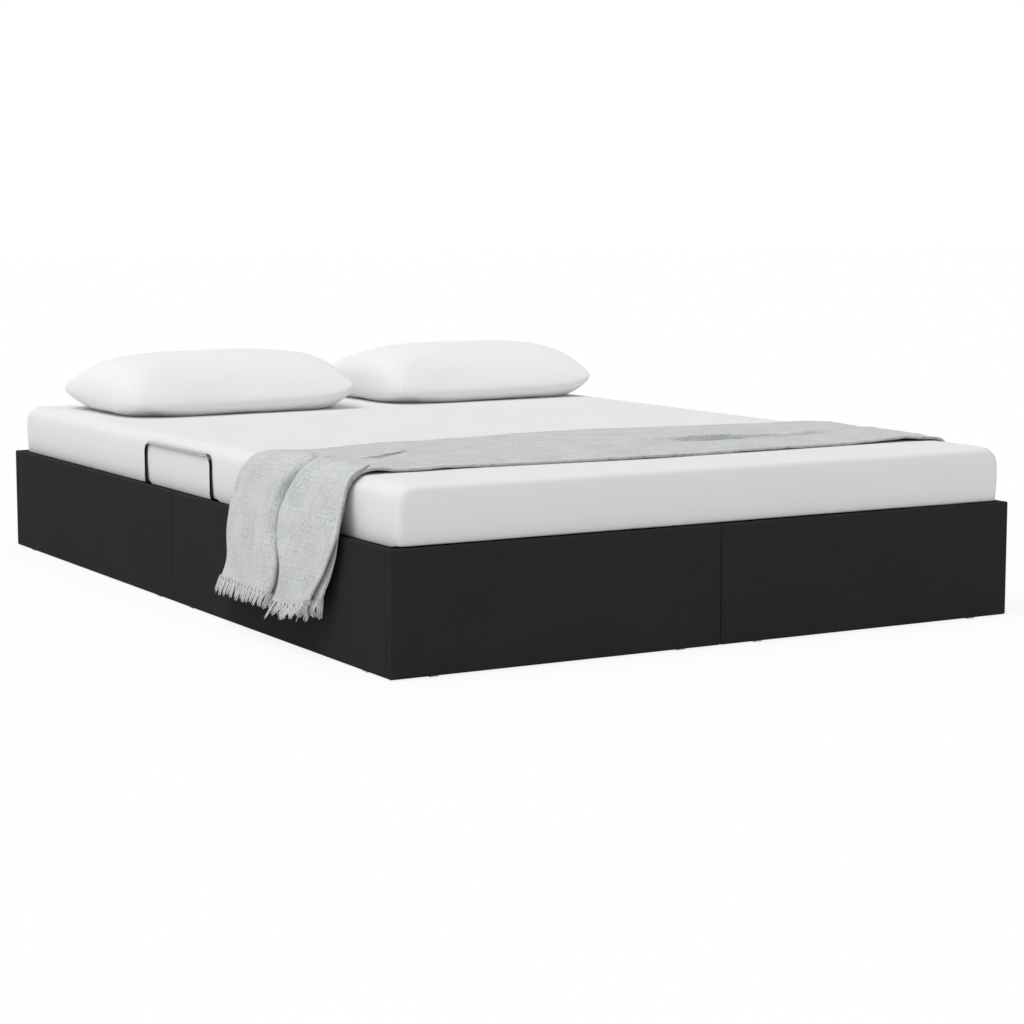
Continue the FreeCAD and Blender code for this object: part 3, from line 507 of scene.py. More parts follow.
PANEL_CLOTH = WovenCloth("charcoal_weave", dark=levels(39, 39, 40), light=levels(53, 53, 54),
                         thread=0.0011, slub=1.0, relief=0.0003, rough=0.9, gloss=0.03)
MATTRESS_CLOTH = WovenCloth("mattress_ticking", dark=grey(228), light=grey(238), thread=0.0013,
                            slub=0.5, relief=0.00015, rough=0.85, gloss=0.08)
PILLOW_CLOTH = WovenCloth("pillow_cotton", dark=grey(236), light=grey(245), thread=0.0007,
                          slub=0.4, relief=0.0001, rough=0.8, gloss=0.08)
# The first colour is the painted shade of the gaps between the yarns
THROW_CLOTH = LooseWeave("grey_blanket", gap_shade=levels(134, 140, 138), body=levels(196, 200, 198),
                         fleck=levels(218, 220, 218), yarn=0.0043, relief=0.0005)
ROD_PAINT = Paint("gloss_black_rod", levels(6, 6, 7), rough=0.2, coat=1.0, relief=0.00001)
TUBE_PAINT = Paint("black_tube_paint", levels(26, 26, 27), rough=0.5, coat=0.1, relief=0.00006)
LIFT_PAINT = Paint("black_lift_paint", levels(22, 22, 23), rough=0.42, coat=0.2, relief=0.00005)
CYLINDER_PAINT = Paint("black_cylinder_paint", levels(16, 16, 17), rough=0.28, coat=0.4,
                       relief=0.00002)
ZINC = BareMetal("zinc_plate", levels(196, 198, 200), levels(176, 178, 170), rough=0.42,
                 streak=(40.0, 40.0, 400.0))
BOLT_ZINC = BareMetal("bolt_zinc", levels(205, 206, 205), levels(188, 186, 172), rough=0.35,
                      streak=(300.0, 300.0, 300.0))
CHROME = BareMetal("strut_chrome", levels(226, 227, 229), levels(214, 216, 219), rough=0.14,
                   streak=(500.0, 60.0, 500.0))
BIRCH = Wood("birch_slat", levels(188, 152, 108), levels(226, 196, 152), grain=(9.0, 190.0, 190.0),
             layers=0.0016, rough=0.5)
PINE = Wood("pine_batten", levels(176, 128, 78), levels(222, 184, 132), grain=(60.0, 60.0, 60.0),
            layers=0.0, rough=0.6)
CHIPBOARD = PressedBoard("chip_board", levels(146, 112, 74), levels(206, 174, 130), chip=0.004)
HARDBOARD = PressedBoard("floor_board", levels(196, 192, 184), levels(216, 212, 205), chip=0.002)
RUBBER = Moulded("pad_rubber", grey(34), rough=0.75)
PLASTIC = Moulded("black_plastic", levels(28, 28, 29), rough=0.5)
GLIDE = Moulded("glide_plastic", grey(236), rough=0.55)

NODE_FINISHES: dict[Finish, tuple[str, ...]] = {
    CHIPBOARD: tuple(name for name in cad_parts
                     if name.endswith("_board") and name != "centre_board"),
    ZINC: ("corner_brackets", "seam_plates"),
    GLIDE: ("floor_glides",),
    PINE: ("centre_board", "floor_battens", "ledger_battens"),
    HARDBOARD: ("floor_sheets",),
    RUBBER: ("rest_pads",),
    PLASTIC: ("tube_end_caps", "slat_holders", "retainer_clamps"),
    LIFT_PAINT: both("base_plate") + both("long_arm") + both("short_arm") + both("lift_bracket"),
    CYLINDER_PAINT: both("gas_cylinder"),
    CHROME: both("gas_rod"),
    TUBE_PAINT: both("side_tube") + ("head_tube", "foot_tube", "centre_tube"),
}


# Numbers along lines and surfaces


def ease(value: Array) -> Array:
    """Soft step from 0 to 1."""
    value = np.clip(value, 0, 1)
    return value * value * (3 - 2 * value)


def ramp(value: Array, start: float, width: float) -> Array:
    """Soft step from 0 at a start to 1 a width further on, which can be negative."""
    return ease((value - start) / width)


def bell(value: Array, centre: float, width: float) -> Array:
    """Bump of height 1 about a centre."""
    return np.exp(-((value - centre) / width) ** 2)


def dome(way: Array, power: Any, soft: Any) -> Array:
    """Crown of height 1 over the middle that falls to 0 at the edges, where way is -1 and 1."""
    return np.clip(1 - np.abs(way) ** power, 0, 1) ** soft


def between(first: Any, second: Any, share: Any) -> Any:
    """Value at a share of the way from one to another."""
    return first + (second - first) * share


def evened(values: Array, rounds: int) -> Array:
    """Draw the values of each row towards their neighbours', in place.

    Args:
        values: rows of values.
        rounds: how often.

    Returns:
        The same rows, the first and last unchanged.
    """
    for _ in range(rounds):
        values[1:-1] = (values[:-2] + values[1:-1] * 2 + values[2:]) / 4
    return values


def waver(points: Array, scale: float, seed: float) -> Array:
    """Smooth noise from about -1 to 1 at each point."""
    move = Vector((seed, seed * 1.7, -seed))
    return np.array([noise.noise(Vector(point) * scale + move) for point in points])


# Meshes and pieces


def linked(name: str, data: bpy.types.ID) -> Object:
    """New object in the scene.

    Args:
        name: its name.
        data: its mesh, lamp or camera.

    Returns:
        The object.
    """
    piece = bpy.data.objects.new(name, data)
    bpy.context.scene.collection.objects.link(piece)
    return piece


def corners(node: str) -> tuple[Array, Array]:
    """Lowest and highest corner of a node's box."""
    low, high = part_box(node)
    return np.array(low), np.array(high)


def places(mesh: Mesh) -> Array:
    """Places of a mesh's points.

    Args:
        mesh: the mesh.

    Returns:
        A row for each point.
    """
    points = np.zeros(len(mesh.vertices) * 3, np.float32)
    mesh.vertices.foreach_get("co", points)
    return points.reshape(-1, 3).astype(float)


def put(mesh: Mesh, points: Array) -> None:
    """Give a mesh's points new places."""
    mesh.vertices.foreach_set("co", np.asarray(points, np.float32).ravel())
    mesh.update()


def lay_uv(mesh: Mesh, values: Array) -> None:
    """Give a mesh its cloth coordinates.

    Args:
        mesh: the mesh.
        values: coordinates of each point, or of each face corner.
    """
    numbers = np.zeros(len(mesh.loops), np.int32)
    mesh.loops.foreach_get("vertex_index", numbers)
    if len(values) != len(numbers):
        values = values[numbers]
    layer = mesh.uv_layers.new(name=CLOTH_UV)
    layer.uv.foreach_set("vector", np.asarray(values, np.float32).ravel())


def mesh_object(name: str, points: Array, faces: Sequence[Sequence[int]],
                uv: Optional[Array] = None) -> Object:
    """Make an object of a mesh at the origin.

    Args:
        name: the piece's name.
        points: places of its points.
        faces: point numbers of each face.
        uv: cloth coordinates of each point, or of each face corner.

    Returns:
        The linked object, shaded smooth.
    """
    mesh = bpy.data.meshes.new(name)
    mesh.from_pydata(np.asarray(points).tolist(), [], [tuple(face) for face in faces])
    if uv is not None:
        lay_uv(mesh, uv)
    mesh.shade_smooth()
    mesh.update()
    return linked(name, mesh)


def settle(piece: Object) -> Object:
    """Turn a piece with its modifiers into a plain mesh.

    Args:
        piece: the piece.

    Returns:
        The same piece with its new mesh.
    """
    bpy.context.view_layer.update()
    shown = piece.evaluated_get(bpy.context.evaluated_depsgraph_get())
    mesh = bpy.data.meshes.new_from_object(shown)
    piece.modifiers.clear()
    piece.data = mesh
    mesh.name = piece.name
    return piece


def modified(piece: Object, kind: str, **settings: Any) -> Object:
    """Run one modifier on a piece and keep the result.

    Args:
        piece: the piece.
        kind: the modifier's type.
        settings: its properties.

    Returns:
        The same piece with its new mesh.
    """
    modifier = piece.modifiers.new(kind.lower(), kind)
    for key, value in settings.items():
        setattr(modifier, key, value)
    return settle(piece)


def join_in(piece: Object, body: Body, slot: Slot, material: Material,
            *nodes: str) -> Object:
    """Give a finished piece its material and body, and let it stand for its nodes.

    Args:
        piece: the finished piece.
        body: the body that it moves with.
        slot: the record's material slot; not used.
        material: its finish.
        nodes: the nodes that it replaces.

    Returns:
        The piece.
    """
    if piece.data.materials:
        piece.data.materials[0] = material
    else:
        piece.data.materials.append(material)
    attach(piece, body.value)
    if nodes:
        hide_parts(*nodes)
    log.info("%s: %d faces on %s", piece.name, len(piece.data.polygons), body.value)
    return piece


def box_grid(lines: Sequence[Array]) -> tuple[Array, list[tuple[int, ...]], Array]:
    """Surface of a box cut along given lines on each axis.

    Args:
        lines: places of the lines on the three axes.

    Returns:
        Points, faces that point outwards, and the axis that each face looks along.
    """
    seen: dict[tuple[int, ...], int] = {}
    faces, axes = [], []
    for axis in range(3):
        first, second = (axis + 1) % 3, (axis + 2) % 3
        for end in (0, len(lines[axis]) - 1):
            for i in range(len(lines[first]) - 1):
                for j in range(len(lines[second]) - 1):
                    face = []
                    for di, dj in QUAD:
                        key = [0, 0, 0]
                        key[axis], key[first], key[second] = end, i + di, j + dj
                        face.append(seen.setdefault(tuple(key), len(seen)))
                    faces.append(tuple(face if end else face[::-1]))
                    axes.append(axis)
    points = np.array([[lines[axis][key[axis]] for axis in range(3)] for key in seen])
    return points, faces, np.array(axes)


def islands(node: str) -> list[tuple[Array, Array]]:
    """Lowest and highest corners of each separate solid in a node.

    Args:
        node: the node's name.

    Returns:
        A pair of corners for each solid, sorted by place.
    """
    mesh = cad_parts[node].data
    keys, merged = np.unique(np.round(places(mesh), 5), axis=0, return_inverse=True)
    group = np.arange(len(keys))
    edges = merged.ravel()[np.array([edge.vertices[:] for edge in mesh.edges])]
    while True:
        low = np.minimum(group[edges[:, 0]], group[edges[:, 1]])
        after = group.copy()
        np.minimum.at(after, edges[:, 0], low)
        np.minimum.at(after, edges[:, 1], low)
        after = after[after]
        if (after == group).all():
            break
        group = after
    solids = [keys[group == label] for label in np.unique(group)]
    found = [(solid.min(0), solid.max(0)) for solid in solids]
    return sorted(found, key=lambda pair: tuple(np.round(pair[0], 4)))


class Rule(Tree):
    """A geometry tree with named inputs that grows a piece from a mesh of points."""

    def __init__(self, name: str, **sizes: float) -> None:
        """Make the tree with its geometry sockets and one input for each size.

        Args:
            name: the tree's name.
            sizes: named sizes of the rule.
        """
        group = bpy.data.node_groups.new(name, "GeometryNodeTree")
        for way in ("INPUT", "OUTPUT"):
            group.interface.new_socket("Geometry", in_out=way, socket_type="NodeSocketGeometry")
        for size in sizes:
            group.interface.new_socket(size, in_out="INPUT", socket_type="NodeSocketFloat")
        super().__init__(group)
        self.sizes = sizes
        self.source = self.add("NodeGroupInput")

    def size(self, name: str) -> Sock:
        """A named size of the rule."""
        return self.source.other(name)

    def named(self, name: str, kind: str = "FLOAT") -> Sock:
        """An attribute of the points."""
        return self.add("GeometryNodeInputNamedAttribute", {"Name": name}, {"data_type": kind})

    def vector(self, x: Value = 0.0, y: Value = 0.0, z: Value = 0.0) -> Sock:
        """Vector from three values."""
        return self.add("ShaderNodeCombineXYZ", {0: x, 1: y, 2: z})

    def ring(self, sides: int, radius: Value) -> Sock:
        """Circle to carry along a line."""
        return self.add("GeometryNodeCurvePrimitiveCircle", {"Resolution": sides, "Radius": radius})

    def rounded(self, line: Sock, steps: int, radius: Sock) -> Sock:
        """A line with rounded corners."""
        inputs = {"Curve": line, "Count": steps, "Radius": radius}
        return self.add("GeometryNodeFilletCurve", inputs, {"mode": "POLY"})

    def sweep(self, line: Sock, section: Sock, scale: Value = 1.0) -> Sock:
        """A section carried along a line, with closed ends."""
        inputs = {"Curve": line, "Profile Curve": section, "Fill Caps": True, "Scale": scale}
        return self.add("GeometryNodeCurveToMesh", inputs)

    def smooth(self, part: Sock) -> Sock:
        """A geometry shaded smooth."""
        return self.add("GeometryNodeSetShadeSmooth", {"Geometry": part})

    def turned(self, axis: str, way: Sock, **more: Sock) -> Sock:
        """Rotation that points an axis along a vector."""
        settings = {"axis": axis, "pivot_axis": "Z" if more else "AUTO"}
        return self.add("FunctionNodeAlignRotationToVector", {"Vector": way, **more}, settings)

    def copies(self, points: Sock, part: Sock, **more: Sock) -> Sock:
        """A geometry repeated on points."""
        inputs = {"Points": points, "Instance": part, **more}
        return self.add("GeometryNodeInstanceOnPoints", inputs)

    def joined(self, *parts: Sock) -> Sock:
        """Several geometries as one.

        Args:
            parts: the geometries.

        Returns:
            Their sum.
        """
        node = self.tree.nodes.new("GeometryNodeJoinGeometry")
        for part in parts:
            self.tree.links.new(part.socket, node.inputs[0])
        return Sock(self, node.outputs[0])

    def end(self, result: Sock, material: Material) -> "Rule":
        """Realize the instances, set the material and close the tree.

        Args:
            result: the rule's geometry.
            material: its finish.

        Returns:
            The rule.
        """
        real = self.add("GeometryNodeRealizeInstances", {0: result})
        dressed = self.add("GeometryNodeSetMaterial", {"Geometry": real, "Material": material})
        self.add("NodeGroupOutput", {0: dressed})
        return self

    def grow(self, name: str, points: Array, lines: bool = False, **attributes: Any) -> Object:
        """Run the rule on points and keep the result as a plain mesh.

        Args:
            name: the new piece's name.
            points: places of the points.
            lines: whether each point is joined to the next.
            attributes: values or vectors of the points.

        Returns:
            The object with its plain mesh.
        """
        mesh = bpy.data.meshes.new(name)
        edges = [(i, i + 1) for i in range(len(points) - 1)] if lines else []
        mesh.from_pydata(np.asarray(points).tolist(), edges, [])
        for key, values in attributes.items():
            values = np.asarray(values, np.float32)
            kind, word = ("FLOAT_VECTOR", "vector") if values.ndim == 2 else ("FLOAT", "value")
            mesh.attributes.new(key, kind, "POINT").data.foreach_set(word, values.ravel())
        piece = linked(name, mesh)
        modifier = piece.modifiers.new("rule", "NODES")
        modifier.node_group = self.tree
        for item in self.tree.interface.items_tree:
            if item.in_out == "INPUT" and item.name in self.sizes:
                modifier[item.identifier] = self.sizes[item.name]
        return settle(piece)


# Upholstered box


@dataclass
class PanelCovers:
    """Eight fabric covers, each wrapped round its board and folded over behind."""

    fold: float = 0.025
    edge: float = 0.0035
    end: float = 0.003
    crease: float = 0.002
    turns: tuple[int, ...] = (45, 30, 15, 0)
    cloth: float = 0.0016
    step: float = 0.03
    taut: float = 0.03
    ripple: float = 0.0004
    ripple_scale: float = 9.0
    ripple_seed: float = 3.1

    def lines(self, length: float, soft: float, fold: float) -> Array:
        """Grid lines along one side, close together where it rounds.

        Args:
            length: the side's length.
            soft: the rounding at its ends.
            fold: width of the fold-over, or 0.

        Returns:
            Places of the lines.
        """
        start = [soft * (1 - math.tan(math.radians(turn))) for turn in self.turns]
        if fold:
            start += [soft + self.crease, fold]
        start = np.array(start)
        count = max(1, round((length - 2 * start[-1]) / self.step))
        middle = np.linspace(start[-1], length - start[-1], count + 1)
        return np.concatenate([start[:-1], middle, (length - start[:-1])[::-1]])

    def open(self, spot: Array, full: Array) -> bool:
        """Whether a face lies behind the board, inside the fold-over."""
        inside = (spot > self.fold) & (spot < full - self.fold)
        return bool(spot[1] > full[1] / 2 and inside[0] and inside[2])

    def wrapped(self, flat: Array, full: Array, origin: Array) -> Array:
        """Points of a cover with its edges rounded and its front a little uneven.

        Args:
            flat: points of the square box.
            full: its length, depth and height.
            origin: its corner.

        Returns:
            The points, from the same corner.
        """
        soft = np.array([self.end, self.edge, self.edge])
        inner = np.clip(flat, soft, full - soft)
        lean = (flat - inner) / soft
        reach = np.linalg.norm(lean, axis=1)
        points = inner + lean / np.maximum(reach, TINY)[:, None] * soft
        room = np.minimum(flat, full - flat)[:, [0, 2]].min(1)
        front = (flat[:, 1] < TINY) * np.clip(room / self.taut, 0, 1)
        uneven = waver(points + origin, self.ripple_scale, self.ripple_seed)
        points[:, 1] += self.ripple * front * uneven
        return points

    def cover(self, node: str, material: Material) -> None:
        """Make one cover.

        Args:
            node: the node that it stands for.
            material: the fabric.
        """
        low, high = corners(node)
        thin = int(np.argmin(high - low))
        inward = np.zeros(3)
        inward[thin] = -np.sign((low + high)[thin])
        along = np.array([inward[1], -inward[0], 0.0])
        origin = np.where(along + inward > 0, low, high) * LEVEL + low[2] * UP
        full = (high - low)[[1 - thin, thin, 2]]
        length, depth, height = full
        flat, faces, axes = box_grid([self.lines(length, self.end, self.fold),
                                      self.lines(depth, self.edge, 0.0),
                                      self.lines(height, self.edge, self.fold)])
        points = self.wrapped(flat, full, origin)
        keep, uv = [], []
        for face, axis in zip(faces, axes):
            spot = flat[list(face)].mean(0)
            if axis == 1 and self.open(spot, full):
                continue
            keep.append(face)
            side = np.where(spot > full / 2, 1, -1)
            for a, d, z in flat[list(face)]:
                u, v = a + d * side[0] * (axis == 0), z + d * side[2] * (axis == 2)
                uv.append((u + origin[1 - thin], v))
        world = origin + points[:, :1] * along + points[:, 1:2] * inward + points[:, 2:] * UP
        piece = mesh_object(node.replace("_cover", "_fabric"), world, keep, np.array(uv))
        modified(piece, "SOLIDIFY", thickness=self.cloth, offset=-1.0)
        join_in(piece, Body.BASE, Slot.PANEL, material, node)

    def build(self, material: Material) -> None:
        """Make every cover in place of its node."""
        for node in sorted(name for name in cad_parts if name.endswith("_cover")):
            self.cover(node, material)


# Rods, slats and bolts, which repeat by rule


@dataclass
class Retainers:
    """Bent rods round the mattress, drawn through their corners and rounded by rule."""

    radius: float = 0.004
    top_bend: float = 0.022
    side_foot_bend: float = 0.026
    head_foot_bend: float = 0.018
    bend_steps: int = 12
    sides: int = 20

    def rule(self, material: Material) -> Rule:
        """Rounded line with a round section.

        Args:
            material: the rod's paint.

        Returns:
            The rule, which takes the bend at each corner.
        """
        rule = Rule("bent_rod", Radius=self.radius)
        line = rule.add("GeometryNodeMeshToCurve", {0: rule.source})
        line = rule.rounded(line, self.bend_steps, rule.named("bend"))
        rod = rule.sweep(line, rule.ring(self.sides, rule.size("Radius")))
        return rule.end(rule.smooth(rod), material)

    def build(self, material: Material) -> None:
        """Make the three rods in place of their nodes.

        Args:
            material: their paint.
        """
        rule = self.rule(material)
        for node in both("retainer") + ("head_retainer",):
            low, high = corners(node)
            axis = 1 if node == "head_retainer" else 0
            foot = self.head_foot_bend if axis else self.side_foot_bend
            out = 1 if (low + high)[axis] > 0 else -1
            tail, plane = (low[axis], high[axis]) if out > 0 else (high[axis], low[axis])
            plane -= out * self.radius
            first, last = low[1 - axis] + self.radius, high[1 - axis] - self.radius
            floor, top = low[2] + self.radius, high[2] - self.radius
            route = [(tail, first, floor), (plane, first, floor), (plane, first, top),
                     (plane, last, top), (plane, last, floor), (tail, last, floor)]
            if axis:
                route = [(b, a, c) for a, b, c in route]
            bends = (0, foot, self.top_bend, self.top_bend, foot, 0)
            piece = rule.grow(node + "_rod", np.array(route), True, bend=bends)
            join_in(piece, Body.PLATFORM, Slot.ROD, material, node)


@dataclass
class Slats:
    """Two columns of bowed birch slats with eased edges."""

    width: float = 0.053
    thick: float = 0.008
    rise: float = 0.004
    ease: float = 0.002
    ease_steps: int = 3
    stations: int = 25

    def rule(self, node: str, length: float, material: Material) -> Rule:
        """One slat on every point.

        Args:
            node: the column's node.
            length: length of its slats.
            material: their wood.

        Returns:
            The rule.
        """
        rule = Rule(node + "_rule", Length=length, Width=self.width, Thick=self.thick,
                    Rise=self.rise, Ease=self.ease)
        half = rule.size("Length") * 0.5
        ends = {"Start": rule.vector(half * -1.0), "End": rule.vector(half)}
        line = rule.add("GeometryNodeCurvePrimitiveLine", ends)
        line = rule.add("GeometryNodeResampleCurve", {"Curve": line, "Count": self.stations})
        share = rule.parts(rule.add("GeometryNodeInputPosition"))[0] / half
        lift = rule.vector(z=(1 - share * share) * rule.size("Rise"))
        line = rule.add("GeometryNodeSetPosition", {"Geometry": line, "Offset": lift})
        line = rule.add("GeometryNodeSetCurveNormal", {"Curve": line}, {"mode": "Z_UP"})
        section = rule.add("GeometryNodeCurvePrimitiveQuadrilateral",
                           {"Width": rule.size("Width"), "Height": rule.size("Thick")})
        section = rule.rounded(section, self.ease_steps, rule.size("Ease"))
        return rule.end(rule.copies(rule.source, rule.sweep(line, section)), material)

    def build(self, material: Material) -> None:
        """Make both columns in place of their nodes.

        Args:
            material: their wood.
        """
        for node in both("slats"):
            solids = islands(node)
            low, high = solids[0]
            rule = self.rule(node, float(high[0] - low[0]), material)
            centres = [(a + b) / 2 * LEVEL + (a[2] + self.thick / 2) * UP for a, b in solids]
            piece = rule.grow(node + "_birch", np.array(centres))
            join_in(piece, Body.PLATFORM, Slot.SLAT, material, node)


@dataclass
class Bolts:
    """Hexagon bolts with a flange and a chamfered head."""

    head: float = 0.004
    across: float = 0.01
    shank: float = 0.003
    shank_sides: int = 12
    shank_taper: float = 0.9
    # Flange, hexagon and chamfer: their sides, then lower and upper radius, start and height
    # as shares of the head's sizes
    layers: tuple[tuple[float, ...], ...] = ((20, 1.04, 0.98, 0.0, 0.2), (6, 1.0, 1.0, 0.2, 0.6),
                                             (6, 1.0, 0.84, 0.8, 0.2))

    def rule(self, material: Material) -> Rule:
        """One bolt on every point, turned along its own way and as long as its point says.

        Args:
            material: the bolts' metal.

        Returns:
            The rule.
        """
        corner = self.across / 2 / math.cos(math.pi / 6)
        rule = Rule("hexagon_bolt", Head=self.head, Corner=corner, Shank=self.shank)
        head, wide, thin = (rule.size(name) for name in ("Head", "Corner", "Shank"))

        def bar(sides: float, low: Value, high: Value, start: Value, tall: Value) -> Sock:
            """Upright bar or cone from a height.

            Args:
                sides: how many sides it has.
                low, high: its lower and upper radius.
                start, tall: where it starts and its height.

            Returns:
                The bar.
            """
            cone = rule.add("GeometryNodeMeshCone", {"Vertices": int(sides), "Radius Top": high,
                                                     "Radius Bottom": low, "Depth": tall})
            move = rule.vector(z=start)
            return rule.add("GeometryNodeTransform", {"Geometry": cone, "Translation": move})

        top = rule.joined(*(bar(sides, wide * low, wide * high, head * start, head * tall)
                            for sides, low, high, start, tall in self.layers))
        turn = rule.turned("Z", rule.named("out", "FLOAT_VECTOR"))
        heads = rule.copies(rule.source, top, Rotation=turn)
        shank = bar(self.shank_sides, thin, thin * self.shank_taper, -1.0, 1.0)
        long = rule.vector(1.0, 1.0, rule.named("grip"))
        shanks = rule.copies(rule.source, shank, Rotation=turn, Scale=long)
        return rule.end(rule.joined(heads, shanks), material)

    def build(self, material: Material) -> None:
        """Make the bolts of the box and of the platform in place of their nodes.

        Args:
            material: their metal.
        """
        rule = self.rule(material)
        for node, body in (("frame_bolts", Body.BASE), ("platform_bolts", Body.PLATFORM)):
            points = places(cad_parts[node].data)
            seats, ways, grips = [], [], []
            for low, high in islands(node):
                axis = int(np.argmax(high - low))
                own = points[((points >= low - TOUCH) & (points <= high + TOUCH)).all(1)]
                seat, way = (low + high) / 2, np.zeros(3)
                reach = np.abs(own - seat)
                reach[:, axis] = 0
                heads = own[reach.max(1) > self.shank * 1.2][:, axis]
                way[axis] = 1 if heads.mean() > seat[axis] else -1
                seat[axis] = heads.min() if way[axis] > 0 else heads.max()
                seats.append(seat)
                ways.append(way)
                grips.append(high[axis] - low[axis] - self.head)
            piece = rule.grow(node + "_hex", np.array(seats), out=ways, grip=grips)
            join_in(piece, body, Slot.BOLT, material, node)


# Bedding


CASE_CLOTH = {"quality": 6, "mass": 0.25, "tension_stiffness": 20.0, "compression_stiffness": 20.0,
              "shear_stiffness": 8.0, "bending_stiffness": 0.5, "tension_damping": 8.0,
              "compression_damping": 8.0, "shear_damping": 8.0, "air_damping": 2.0,
              "use_pressure": True}


def swell(piece: Object, pressure: float, frames: int, reach: float) -> None:
    """Blow a closed case up by cloth simulation, no point further than a set way.

    Args:
        piece: the case, a closed mesh.
        pressure: pressure inside it.
        frames: steps of the simulation.
        reach: the furthest that a point goes.
    """
    before = places(piece.data)
    modifier = piece.modifiers.new("cloth", "CLOTH")
    for key, value in CASE_CLOTH.items():
        setattr(modifier.settings, key, value)
    modifier.settings.uniform_pressure_force = pressure
    modifier.settings.effector_weights.gravity = 0.0
    modifier.point_cache.frame_start = 1
    modifier.point_cache.frame_end = frames
    modifier.collision_settings.use_collision = False
    for number in range(1, frames + 1):
        bpy.context.scene.frame_set(number)
    settle(piece)
    bpy.context.scene.frame_set(1)
    move = places(piece.data) - before
    far = np.linalg.norm(move, axis=1)
    log.info("%s swells by %.4f, at most %.4f", piece.name, far.mean(), far.max())
    move *= (reach * np.tanh(far / reach) / np.maximum(far, TINY))[:, None]
    put(piece.data, before + move)


def smooth(piece: Object, rounds: int) -> Object:
    """Even a soft mesh out and keep the result."""
    return modified(piece, "SMOOTH", factor=0.5, iterations=rounds)


def refine(piece: Object) -> Object:
    """Even a soft mesh out, divide it once and keep the result."""
    return modified(smooth(piece, 1), "SUBSURF", levels=1, render_levels=1)


